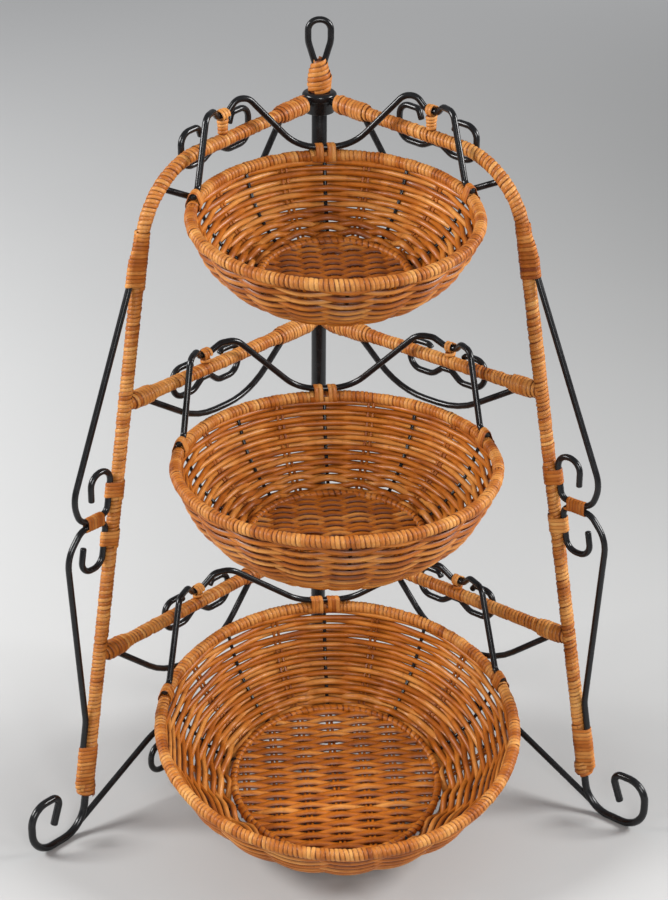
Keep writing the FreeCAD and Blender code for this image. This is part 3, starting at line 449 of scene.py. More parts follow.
def on_rim():
    """From the axis of a rim to that of a wire on it."""
    return stand().rim_dia / 2 + stand().wire_dia / 2 + stand().seat_gap


def waist_step():
    """From the middle of the waist to either leg scroll's axis."""
    return (stand().wire_dia + 2 * stand().seat_gap) / 2


def beside_leg(height):
    return leg_reach(height) + on_wrap() * math.hypot(1, leg_slope())


def rail_z(tier, reach):
    return arm_z(reach) if tier == "upper" else getattr(stand(), f"{tier}_rail_height")


def collar_top():
    s = stand()
    return s.arm_height - s.collar_under + s.collar_height + s.flange_height


def wing_point(side, reach, height, behind=0.0):
    """A point of a wing: distance from the pole axis, height, and distance behind the wing's plane."""
    angle = stand().wing_angle
    return np.array([
        SIDES[side] * (reach * math.sin(angle) + behind * math.cos(angle)),
        behind * math.sin(angle) - reach * math.cos(angle),
        height,
    ])


def on_wing(side, places):
    """Corners of a wire in a wing's plane, from (reach, height, bend radius)."""
    return [(wing_point(side, reach, height), bend) for reach, height, bend in places]


def rail_direction(tier, side):
    near, far = stand().pole_dia, stand().shoulder_reach
    inner, outer = [wing_point(side, reach, rail_z(tier, reach)) for reach in (near, far)]
    return unit(inner - outer)


def unit(vectors):
    return vectors / np.linalg.norm(vectors, axis=-1, keepdims=True)


def ring_places(radius, turn, height):
    """Places on a ring about the upright axis."""
    return np.stack([radius * np.cos(turn), radius * np.sin(turn), height + 0 * turn], axis=-1)


def mirrored(corners):
    return [(point * np.array([-1, 1, 1]), bend) for point, bend in reversed(corners)]


# Wires, and strands of cane: a grid rolled into a tube through rings of points

def deselect():
    bpy.ops.object.select_all(action="DESELECT")


def edit(action):
    """Goes to edit mode and selects all of the mesh or none of it."""
    bpy.ops.object.mode_set(mode="EDIT")
    bpy.ops.mesh.select_all(action=action)


def close_edit():
    bpy.ops.object.mode_set(mode="OBJECT")


def bend_at(before, point, after, bend):
    """A bend that fits its runs: ways back and ahead, radius, cut off each run, centre and angle."""
    back, ahead = unit(before - point), unit(after - point)
    half = math.acos(np.clip(back @ ahead, -1, 1)) / 2
    room = BEND_SHARE * min(np.linalg.norm(before - point), np.linalg.norm(after - point))
    radius = min(bend, room * math.tan(half))
    centre = point + unit(back + ahead) * (radius / math.sin(half))
    return back, ahead, radius, radius / math.tan(half), centre, math.pi - 2 * half


def pull(step):
    """Extrudes the selected ring by a step."""
    if np.linalg.norm(step) > 1e-7:
        bpy.ops.mesh.extrude_region_move(TRANSFORM_OT_translate={"value": tuple(step)})


def round_tip(radius):
    """Closes the selected ring and rounds its edge over."""
    bpy.ops.mesh.edge_face_add()
    bpy.ops.mesh.bevel(offset=WIRE_TIP_SHARE * radius, segments=3, affect="EDGES")


def draw_wire(corners, radius, sides=WIRE_SIDES):
    """A ring extruded along straight runs and spun round bends. Each corner is (point, bend radius)."""
    points = [np.array(point, dtype=float) for point, _ in corners]
    here = points[0]
    facing = Vector(unit(points[1] - here)).to_track_quat("Z", "Y").to_euler()
    deselect()
    bpy.ops.mesh.primitive_circle_add(vertices=sides, radius=radius, location=here, rotation=facing)
    bpy.ops.object.transform_apply(location=True, rotation=True, scale=True)
    wire = bpy.context.object
    edit("SELECT")
    for before, point, after, (_, bend) in zip(points, points[1:], points[2:], corners[1:]):
        back, ahead, _, cut, centre, turn = bend_at(before, point, after, bend)
        pull(point + back * cut - here)
        bpy.ops.mesh.spin(steps=max(2, math.ceil(turn / WIRE_BEND_STEP)), angle=turn, center=centre,
                          axis=unit(np.cross(back, ahead)))
        here = point + ahead * cut
    pull(points[-1] - here)
    round_tip(radius)
    bpy.ops.mesh.select_all(action="DESELECT")
    close_edit()
    for vertex in wire.data.vertices[:sides]:
        vertex.select = True
    bpy.ops.object.mode_set(mode="EDIT")
    round_tip(radius)
    close_edit()
    return wire


def smooth_path(corners):
    """Straight runs joined by round bends. Each corner is (point, bend radius)."""
    points = [np.array(corners[0][0], dtype=float)]
    for (before, _), (point, bend), (after, _) in zip(corners, corners[1:], corners[2:]):
        back, _, radius, cut, centre, turn = bend_at(before, point, after, bend)
        start = point + back * cut - centre
        steps = max(2, math.ceil(turn / LINE_BEND_STEP))
        for angle in np.linspace(0, turn, steps + 1):
            points.append(centre + start * math.cos(angle) - back * radius * math.sin(angle))
    points.append(np.array(corners[-1][0], dtype=float))
    return np.array(points)


def run_of(points):
    return np.concatenate([[0.0], np.cumsum(np.linalg.norm(np.diff(points, axis=0), axis=1))])


def spread(points, spacing):
    """The same line with its points evenly apart."""
    run = run_of(points)
    places = np.linspace(0, run[-1], max(2, round(run[-1] / spacing)) + 1)
    return np.stack([np.interp(places, run, points[:, axis]) for axis in range(3)], axis=1)


def carried(points):
    """Tangents, and two normals carried along the line without twist."""
    steps = unit(np.diff(points, axis=0))
    ways = unit(np.vstack([steps[:1], steps[:-1] + steps[1:], steps[-1:]]))
    pick = np.eye(3)[np.argmin(np.abs(ways[0]))]
    normals = []
    for way in ways:
        pick = unit(pick - way * (pick @ way))
        normals.append(pick)
    normals = np.array(normals)
    return ways, normals, np.cross(ways, normals)


def roll(rings, run, tone, edge):
    """A grid rolled through rings of points: run and turn as UVs, tone and edge, the weight of painted
    shade, as attributes.
    """
    count, sides = rings.shape[:2]
    deselect()
    bpy.ops.mesh.primitive_grid_add(x_subdivisions=count - 1, y_subdivisions=sides, size=1.0)
    obj = bpy.context.object
    mesh = obj.data
    shut = np.concatenate([rings, rings[:, :1]], axis=1).transpose(1, 0, 2)
    mesh.vertices.foreach_set("co", shut.reshape(-1))
    corner = np.empty(len(mesh.loops), dtype=np.int32)
    mesh.loops.foreach_get("vertex_index", corner)
    turn, station = np.divmod(corner, count)
    flat = np.stack([np.asarray(run)[station], turn / sides], axis=1)
    mesh.uv_layers.active.data.foreach_set("uv", flat.reshape(-1))
    tones = np.broadcast_to(np.asarray(tone, dtype=float), (count,))
    edges = np.concatenate([edge, edge[:1]])
    for name, values in (("tone", np.tile(tones, sides + 1)), ("edge", np.repeat(edges, count))):
        mesh.attributes.new(name, "FLOAT", "POINT").data.foreach_set("value", values)
    return obj


def round_section(sides):
    angles = np.arange(sides) * 2 * math.pi / sides
    return np.stack([np.cos(angles), np.sin(angles)], axis=1)


def round_rings(points, radius, sides):
    """Round rings square to a line, with a radius for each of its points."""
    _, normals, others = carried(points)
    section = round_section(sides)
    spokes = section[:, :1] * normals[:, None] + section[:, 1:] * others[:, None]
    return points[:, None] + radius[:, None, None] * spokes


def tube(points, radius, sides, tone=EVEN_TONE, rounded=True):
    """A round strand along a line, with or without tips rounded over."""
    sizes = np.ones(len(points))
    if rounded:
        first, last = unit(points[1] - points[0]), unit(points[-2] - points[-1])
        head = [points[0] + first * radius * far for far, _ in TIP_SHARES]
        tail = [points[-1] + last * radius * far for far, _ in reversed(TIP_SHARES)]
        points = np.vstack([head, points[1:-1], tail])
        ends = [size for _, size in TIP_SHARES]
        sizes = np.concatenate([ends, np.ones(len(points) - 2 * len(ends)), ends[::-1]])
    return roll(round_rings(points, radius * sizes, sides), run_of(points), tone, np.zeros(sides))


def strip(centres, outward, half_width, half_thickness, tone):
    """A flat cane strip along a line, its face turned outward."""
    ways = unit(np.gradient(centres, axis=0))
    across = unit(np.cross(ways, outward))
    section = np.array(STRIP)
    wide = np.broadcast_to(half_width, (len(centres),))[:, None, None]
    rings = (centres[:, None] + section[:, :1] * across[:, None] * wide
             + section[:, 1:2] * outward[:, None] * half_thickness)
    return roll(rings, run_of(centres), tone, section[:, 2])


def wavering(rng, places):
    """A number that wanders from turn to turn."""
    marks = rng.normal(0, 1, int(places[-1]) + 3)
    return np.interp(places, np.arange(len(marks)), marks)


def wrap(points, radius, seed, width=None, starts=1, pale=0.0, per_turn=12, core=True):
    """Cane strips wound round a line, mostly on a core drawn dark with painted shade, which shows
    between the strips. The radius is a function of the run.

    Pale is added to the tone: a number, or a function of the places."""
    s = stand()
    width = width or s.strip_width
    line = spread(points, LINE_SPACING)
    run = run_of(line)
    _, normals, others = carried(line)
    rng = np.random.default_rng(seed)
    turns = run[-1] / (width * starts)
    strands = []
    for start in range(starts):
        angle = np.linspace(0, 2 * math.pi * turns, int(turns * per_turn) + 1)
        place = angle / (2 * math.pi)
        along = place * width * starts
        centre, normal, other = [
            np.stack([np.interp(along, run, values[:, axis]) for axis in range(3)], axis=1)
            for values in (line, normals, others)]
        phase = (angle + 2 * math.pi * start / starts)[:, None]
        outward = unit(normal * np.cos(phase) + other * np.sin(phase))
        reach = radius(along) - s.strip_thickness + WRAP_LOOSENESS * wavering(rng, place)
        centre = centre + outward * reach[:, None]
        slant = wavering(rng, place) * WRAP_SLANT * np.sin(phase[:, 0])
        centre = centre + np.cross(normal, other) * slant[:, None]
        tone = EVEN_TONE + WRAP_TONE_SWING * wavering(rng, place * WRAP_TONE_PACE)
        tone = tone + (pale(centre) if callable(pale) else pale)
        half = width / 2 * (1 + WRAP_WIDTH_SWING * wavering(rng, place))
        strands.append(strip(centre, outward, half, s.strip_thickness, tone))
    if core:
        inner = line[:: max(1, len(line) // CORE_POINTS)]
        if not np.allclose(inner[-1], line[-1]):
            inner = np.vstack([inner, line[-1:]])
        run = run_of(inner)
        rings = round_rings(inner, radius(run) - CORE_SINK * s.strip_thickness, CORE_SIDES)
        # The core has a dark tone and full painted shade, so the gaps between strips read as shade.
        strands.append(roll(rings, run, CORE_TONE, np.ones(CORE_SIDES)))
    return strands


def binding(centre, axis, up, span, low, high, rise, seed, width=None, per_arc=11, tone=EVEN_TONE):
    """A cane strip wound close round two rods of radius low and high.

    The rise of the second over the first is a number, or a function of the way along."""
    s = stand()
    width = width or s.band_strip
    axis = unit(np.array(axis, dtype=float))
    up = unit(up - axis * (up @ axis))
    across = np.cross(up, axis)
    rng = np.random.default_rng(seed)
    turns = max(1, round(span / width) - 1)
    count = turns * 2 * per_arc + per_arc
    order = np.arange(count) % (2 * per_arc)
    place = np.arange(count) / (2 * per_arc)
    along = np.linspace(-(span - width) / 2, (span - width) / 2, count)
    lift = rise(along) if callable(rise) else np.full(count, rise)
    lift = np.maximum(lift, low - high + 1e-6)
    lean = np.arcsin((low - high) / lift)
    far = order >= per_arc
    share = (order % per_arc) / (per_arc - 1)
    first = np.where(far, lean, math.pi - lean)
    last = np.where(far, math.pi - lean, 2 * math.pi + lean)
    angle = first + (last - first) * share
    layer = BINDING_LIFT + BINDING_LIFT_SWING * wavering(rng, place)
    radius = np.where(far, high, low) + s.strip_thickness * layer
    outward = np.cos(angle)[:, None] * across + np.sin(angle)[:, None] * up
    centres = (np.array(centre) + radius[:, None] * outward + np.where(far, lift, 0.0)[:, None] * up
               + along[:, None] * axis)
    tone = tone + BINDING_TONE_SWING * wavering(rng, place)
    half = width * BINDING_HALF_SHARE * (1 + BINDING_WIDTH_SWING * wavering(rng, place))
    return strip(centres, outward, half, s.strip_thickness, tone)


def make_piece(name, strands, nodes, kind, body="stand"):
    """Joins strands to one piece, closes its seams and ends, gives it its finish, sets its body and
    hides the model parts of its nodes.
    """
    finish, slot = finish_of(kind), SLOTS[kind]
    deselect()
    for strand in strands:
        strand.select_set(True)
    bpy.context.view_layer.objects.active = strands[0]
    if len(strands) > 1:
        bpy.ops.object.join()
    obj = bpy.context.object
    obj.name = name
    obj.data.name = name
    edit("SELECT")
    bpy.ops.mesh.remove_doubles(threshold=1e-7)
    bpy.ops.mesh.fill_holes(sides=0)
    bpy.ops.mesh.select_all(action="SELECT")
    bpy.ops.mesh.normals_make_consistent(inside=False)
    close_edit()
    bpy.ops.object.shade_smooth_by_angle(angle=SMOOTH_ANGLE)
    obj.data.materials.clear()
    obj.data.materials.append(finish)
    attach(obj, body)
    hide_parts(*nodes)


# Finishes

class Shade:
    """A shader socket in a formula. Each operator adds its Math node."""

    def __init__(self, finish, socket):
        self.finish = finish
        self.socket = socket

    def math(self, operation, first, second):
        return self.finish.node("ShaderNodeMath", {"operation": operation}, {0: first, 1: second})

    def __add__(self, other):
        return self.math("ADD", self, other)

    def __radd__(self, other):
        return self.math("ADD", other, self)

    def __sub__(self, other):
        return self.math("SUBTRACT", self, other)

    def __rsub__(self, other):
        return self.math("SUBTRACT", other, self)

    def __mul__(self, other):
        return self.math("MULTIPLY", self, other)

    def __rmul__(self, other):
        return self.math("MULTIPLY", other, self)

    def clamped(self):
        return self.finish.node("ShaderNodeClamp", {}, {"Value": self})

    def ramp(self, start, rate):
        """Rises from 0 at the start, by the rate, as far as 1."""
        return ((self - start) * rate).clamped()


class Finish:
    """A node material under construction."""

    def __init__(self, name):
        self.material = bpy.data.materials.new(name)
        self.material.use_nodes = True
        self.tree = self.material.node_tree
        self.surface = self.tree.nodes["Principled BSDF"]

    def node(self, kind, settings, inputs, output=0):
        """A node of a kind with its settings, then the values or links of its sockets."""
        made = self.tree.nodes.new(kind)
        for key, value in settings.items():
            setattr(made, key, value)
        for key, value in inputs.items():
            if isinstance(value, Shade):
                self.tree.links.new(value.socket, made.inputs[key])
            else:
                made.inputs[key].default_value = value
        return Shade(self, made.outputs[output])

    def blend(self, factor, first, second):
        """Two colours mixed by a factor."""
        return self.node("ShaderNodeMix", {"data_type": "RGBA"}, {0: factor, 6: first, 7: second}, 2)

    def noise(self, place, scale, detail):
        return self.node("ShaderNodeTexNoise", {}, {"Vector": place, "Scale": scale, "Detail": detail})

    def part(self, vector, axis):
        return self.node("ShaderNodeSeparateXYZ", {}, {0: vector}, axis)

    def object_place(self):
        return self.node("ShaderNodeTexCoord", {}, {}, 3)

    def attribute(self, name):
        return self.node("ShaderNodeAttribute", {"attribute_name": name}, {}, 2)

    def bump(self, strength, distance, height):
        sockets = {"Strength": strength, "Distance": distance, "Height": height}
        return self.node("ShaderNodeBump", {}, sockets)

    def feed(self, **sockets):
        for name, value in sockets.items():
            socket = self.surface.inputs[name.replace("_", " ")]
            if isinstance(value, Shade):
                self.tree.links.new(value.socket, socket)
            else:
                socket.default_value = value


def tint(name, share=1.0):
    """A colour of the panel for a socket, darker or brighter by a share."""
    return (*[value * share for value in getattr(bpy.context.scene.basket_finish_colours, name)], 1.0)


def cane_finish(name, gloss, fibre_bump, bleach, crevice_shade):
    """Varnished cane: long fibres, painted crevice shade towards the edges of strips and strands, a
    tone for each strand and warm blotches.
    """
    look = Finish(name)
    flat = look.node("ShaderNodeUVMap", {"uv_map": "UVMap"}, {})
    run, turn = look.part(flat, 0), look.part(flat, 1)
    tone, edge = look.attribute("tone"), look.attribute("edge")
    place = look.object_place()

    def fibres(paces, detail):
        scaled = [value * pace for value, pace in zip((run, turn, tone), paces)]
        spot = look.node("ShaderNodeCombineXYZ", {}, dict(enumerate(scaled)))
        return look.noise(spot, 1.0, detail)

    grain, vein = fibres(GRAIN_PACE, 3.0), fibres(VEIN_PACE, 2.0)
    blotch = look.noise(place, BLOTCH_SCALE, 3.0)
    stain = look.noise(place, STAIN_SCALE, 1.0)
    warm = (tone * 0.9 + (grain - 0.5) * 0.55 + (blotch - 0.5) * 0.75 + 0.05).clamped()
    body = look.blend(warm, tint("cane_dark"), tint("cane_honey"))
    pale = ((tone - 0.55) * 1.5 + (vein - 0.55) * 1.1 + (blotch - 0.5) * 0.6 + bleach).clamped()
    body = look.blend(pale, body, tint("cane_straw"))
    # Painted shade towards the edges of strips and strands, where they meet, mixed with real dark
    # stains.
    shade = (edge * edge * crevice_shade + stain.ramp(0.6, 3.5) * 0.5).clamped()
    body = look.blend(shade, body, tint("cane_dark", CREVICE_SHADE_SHARE))
    normal = look.bump(fibre_bump, FIBRE_DEPTH, grain * 0.5 + vein * 0.5)
    look.feed(Base_Color=body, Roughness=gloss + grain * 0.22, Normal=normal, Coat_Weight=0.12,
              Coat_Roughness=0.2, Specular_IOR_Level=0.3)
    return look.material


def wire_finish(name):
    """Satin black coating with a faint unevenness."""
    look = Finish(name)
    place = look.object_place()
    mottle = look.noise(place, MOTTLE_SCALE, 3.0)
    worn = tint("wire_black", WORN_SHARE)
    body = look.blend(mottle.ramp(0.45, 1.6), tint("wire_black"), worn)
    normal = look.bump(PEEL_BUMP, PEEL_DEPTH, look.noise(place, PEEL_SCALE, 2.0))
    look.feed(Base_Color=body, Roughness=0.14 + mottle * 0.14, Normal=normal, Specular_IOR_Level=0.33)
    return look.material


def finish_of(kind):
    """The finish of that kind, made once."""
    name = f"basket_stand_{kind}"
    made = bpy.data.materials.get(name)
    if made:
        return made
    if kind == "wire":
        return wire_finish(name)
    return cane_finish(name, **CANE_LOOKS[kind])


# Pole, collar and loop

def soften(obj, width):
    """Bevels the sharp edges of a piece."""
    deselect()
    obj.select_set(True)
    bpy.context.view_layer.objects.active = obj
    bpy.ops.object.modifier_add(type="BEVEL")
    bevel = obj.modifiers[-1]
    bevel.width = width
    bevel.segments = 3
    bevel.limit_method = "ANGLE"
    bpy.ops.object.modifier_apply(modifier=bevel.name)
    return obj


def cylinder(radius, low, high):
    deselect()
    bpy.ops.mesh.primitive_cylinder_add(vertices=TURNED_SIDES, radius=radius, depth=high - low,
                                        location=(0, 0, (low + high) / 2))
    bpy.ops.object.transform_apply(location=True, rotation=True, scale=True)
    return bpy.context.object


def step_top(steps):
    """Extrudes the top face of a turned piece through (growth of radius, rise) steps."""
    turned = bpy.context.object
    top = max(vertex.co.z for vertex in turned.data.vertices)
    edit("DESELECT")
    close_edit()
    for face in turned.data.polygons:
        face.select = face.center.z > top - 1e-6
    bpy.ops.object.mode_set(mode="EDIT")
    for growth, rise in steps:
        bpy.ops.mesh.extrude_region_move(TRANSFORM_OT_translate={"value": (0, 0, rise)})
        top += rise
        bpy.ops.transform.resize(value=(growth, growth, 1), center_override=(0, 0, top))
    close_edit()
    return turned


class BASKETSTAND_OT_pole(bpy.types.Operator):
    """Centre pole with its foot plug, and the turned collar"""
    bl_idname = "basket_stand.pole"
    bl_label = "Pole and collar"

    def execute(self, context):
        s = stand()
        levels = ((s.plug_flange, collar_top()), (0.0, s.plug_flange))
        turned = [soften(cylinder(s.pole_dia / 2, low, high), TURNED_EDGE) for low, high in levels]
        make_piece("centre_pole_tube", turned, ["centre_pole", "pole_foot_plug"], "wire")
        under = s.arm_height - s.collar_under
        cylinder(s.collar_dia / 2, under, under + s.collar_height)
        collar = step_top([
            (s.flange_dia / s.collar_dia, 0.0),
            (1.0, s.flange_height - s.flange_edge),
            (1 - 2 * s.flange_edge / s.flange_dia, s.flange_edge),
        ])
        make_piece("top_collar_turned", [soften(collar, 2 * TURNED_EDGE)], ["top_collar"], "wire")
        return {"FINISHED"}


class BASKETSTAND_OT_carry_loop(bpy.types.Operator):
    """Teardrop carrying loop and the cane strip that binds its legs"""
    bl_idname = "basket_stand.carry_loop"
    bl_label = "Carrying loop"

    def execute(self, context):
        s = stand()
        base = collar_top()
        leg = (s.loop_wire_dia + s.seat_gap) / 2
        half = s.loop_width / 2
        left = [
            (np.array([-leg, 0, base]), 0),
            (np.array([-leg, 0, base + s.loop_neck]), s.loop_bend),
            (np.array([-half, 0, base + s.loop_rise * LOOP_SHOULDER_SHARE]), s.loop_bend),
            (np.array([-half, 0, base + s.loop_rise]), half),
        ]
        wire = draw_wire(left + mirrored(left), s.loop_wire_dia / 2, THICK_SIDES)
        make_piece("carry_loop_wire", [wire], ["carry_loop"], "wire")

        def barrel(along):
            return np.interp(along / s.loop_band, *zip(*LOOP_BAND_SHARES)) * s.loop_band_dia / 2

        ends = np.array([[0, 0, base + s.seat_gap], [0, 0, base + s.seat_gap + s.loop_band]])
        strands = wrap(ends, barrel, SEEDS["loop"], LOOP_STRIP, starts=3, pale=LOOP_PALE, per_turn=20)
        make_piece("carry_loop_binding", strands, ["carry_loop_lashing"], "binding")
        return {"FINISHED"}


# Wings

def leg_corners(side, start):
    s = stand()
    foot = [(s.foot_reach + s.foot_scroll * r, foot_z() + s.foot_scroll * z) for r, z in FOOT_SHARES]
    bends = (s.foot_scroll / 2, s.foot_scroll / 2, s.foot_tip_bend, 0)
    corners = on_wing(side, [
        (start, arm_z(start), 0),
        (s.shoulder_reach, shoulder_z(), s.shoulder_bend),
        (s.foot_reach, foot_z(), s.foot_bend),
    ])
    return corners + on_wing(side, [(*place, bend) for place, bend in zip(foot, bends)])


def swag_corners(side, tier):
    s = stand()
    begin, end, drop = [tier_size(tier, f"swag_{key}") for key in ("start", "end", "drop")]
    top = rail_z(tier, begin)
    far = top - s.shoulder_fall if tier == "upper" else top
    low = rail_z(tier, (begin + end) / 2) - drop
    inner, outer = [begin + share * (end - begin) for share in SWAG_SHARES]
    places = [(begin, top, 0), (inner, low, s.swag_bend), (outer, low, s.swag_bend), (end, far, 0)]
    return on_wing(side, places)


def lyre_corners(side, tier):
    s = stand()
    bends = (s.lyre_tip_bend, s.lyre_bend, s.lyre_bend, s.lyre_bend, s.lyre_tip_bend, 0)
    reach = tier_size(tier, "hang_reach") - tier_size(tier, "lyre_inset")
    half = []
    for (across, rise), bend in zip(LYRE_SHARES, bends):
        height = tier_size(tier, "lyre_crown" if rise > 0 else "lyre_dip")
        half.append((across * s.lyre_reach, rise * height, bend))
    other = [(-across, rise, bend) for across, rise, bend in reversed(half)]
    return [(wing_point(side, reach + across, rail_z(tier, reach + across) + rise, on_wrap()), bend)
            for across, rise, bend in other + half]


def leg_scroll_corners(side, which):
    s = stand()
    step = waist_step()
    waist_reach = beside_leg(s.bow_waist) + s.bow_waist_out
    if which == "upper":
        waist, curl, tip = s.bow_waist + step, s.curl_top, s.curl_top - s.curl_drop
        ends = [(s.bow_top, 0), (s.bow_leave, s.bow_bend)]
        knee, out, lean = s.bow_upper_height, s.bow_upper_out, 0.0
    else:
        waist, curl, tip = s.bow_waist - step, s.curl_bottom, s.curl_bottom + s.curl_drop
        ends = [(s.bow_foot, 0), (s.bow_join, s.bow_bend)]
        knee, out, lean = s.bow_lower_height, s.bow_lower_out, leg_slope() * s.curl_width
    places = [(beside_leg(z), z, bend) for z, bend in ends]
    places += [
        (beside_leg(knee) + out, knee, s.bow_bend),
        (waist_reach, waist, s.bow_waist_bend),
        (beside_leg(waist), waist, s.bow_inner_bend),
        (beside_leg(curl), curl, s.curl_bend),
        (beside_leg(curl) + s.curl_width, curl, s.curl_bend),
        (beside_leg(curl) + s.curl_width - lean, tip, 0),
    ]
    return on_wing(side, places)


def brace_corners(side):
    s = stand()
    steep = math.hypot(1, leg_slope())
    across, rise = 1 - leg_slope() / steep, 1 / steep
    half = math.atan2(rise, across)
    inward = s.foot_bend * (1 / math.sin(half) - 1) / math.hypot(across, rise)
    start = (s.foot_reach + across * inward, foot_z() + rise * inward)
    places = [(*start, 0), (s.brace_crest, s.brace_rise, s.brace_bend), (0, s.brace_root, 0)]
    return on_wing(side, places)


def floor_scroll_corners(side):
    s = stand()
    end, top = s.floor_scroll_reach, s.floor_scroll_height + s.floor_curl
    places = [
        (0, s.floor_scroll_height, 0),
        (end, s.floor_scroll_height, s.floor_curl_bend),
        (end, top, s.floor_curl_bend),
        (end - FLOOR_TIP_SHARE * s.floor_curl, top, 0),
    ]
    return on_wing(side, places)


class BASKETSTAND_OT_wing_wires(bpy.types.Operator):
    """Leg rods with scroll feet, swags, rail scrolls, leg scrolls, braces and floor scrolls"""
    bl_idname = "basket_stand.wing_wires"
    bl_label = "Wing wires"

    def execute(self, context):
        s = stand()
        for side in SIDES:
            rod = draw_wire(leg_corners(side, s.pole_dia / 2), s.rod_dia / 2, THICK_SIDES)
            edit("SELECT")
            bpy.ops.mesh.bisect(plane_co=(0, 0, 0), plane_no=UP, clear_inner=True, use_fill=True,
                                threshold=1e-6)
            close_edit()
            make_piece(f"{side}_leg_bar", [rod], [f"{side}_leg_rod"], "wire")
            wires = {f"{side}_floor_brace": brace_corners(side),
                     f"{side}_floor_scroll": floor_scroll_corners(side)}
            for which in ("upper", "lower"):
                wires[f"{side}_{which}_leg_scroll"] = leg_scroll_corners(side, which)
            for tier in TIERS:
                wires[f"{side}_{tier}_swag"] = swag_corners(side, tier)
                wires[f"{side}_{tier}_rail_scroll"] = lyre_corners(side, tier)
            for node, corners in wires.items():
                make_piece(f"{node}_wire", [draw_wire(corners, s.wire_dia / 2)], [node], "wire")
        return {"FINISHED"}


def knots(places, half_length):
    """Extra thickness of a wrapping at places along its run."""
    def rise(along):
        lumps = [1 / (1 + ((along - place) / half_length) ** KNOT_STEEPNESS) for place in places]
        return stand().wrap_dia / 2 + stand().knot_rise * np.clip(sum(lumps), 0, 1)
    return rise


class BASKETSTAND_OT_wing_cane(bpy.types.Operator):
    """Cane strips wound on the arms, legs and rails"""
    bl_idname = "basket_stand.wing_cane"
    bl_label = "Wing wrapping"

    def execute(self, context):
        s = stand()
        for number, side in enumerate(SIDES):
            corners = leg_corners(side, s.flange_dia / 2 + s.arm_bare)[:2]
            corners.append((wing_point(side, leg_reach(s.wrap_end), s.wrap_end), 0))
            line = smooth_path(corners)
            run = run_of(line)
            straight = line[:, 2] < shoulder_z() - s.shoulder_bend
            heights, runs = line[straight, 2], run[straight]
            places = [np.interp(-rail_z(tier, 0), -heights, runs) for tier in TIERS[1:]]
            thick = knots([*places, *ARM_KNOTS], LEG_KNOT)
            strands = wrap(line, thick, SEEDS["leg"] + number, starts=2)
            make_piece(f"{side}_leg_cane", strands, [f"{side}_leg_wrap"], "wrap")
            for row, tier in enumerate(TIERS[1:]):
                height = rail_z(tier, 0)
                inner, outer = s.pole_dia / 2, leg_reach(height)
                ends = np.array([wing_point(side, reach, height) for reach in (inner, outer)])
                tied = tier_size(tier, "swag_start") - inner
                places = [tied, tied - RAIL_KNOT_INSET, outer - inner - RAIL_KNOT_INSET]
                seed = SEEDS["rail"] + 2 * number + row
                strands = wrap(ends, knots(places, RAIL_KNOT), seed, starts=2)
                make_piece(f"{side}_{tier}_rail_cane", strands,
                           [f"{side}_{tier}_rail", f"{side}_{tier}_rail_wrap"], "wrap")
        return {"FINISHED"}


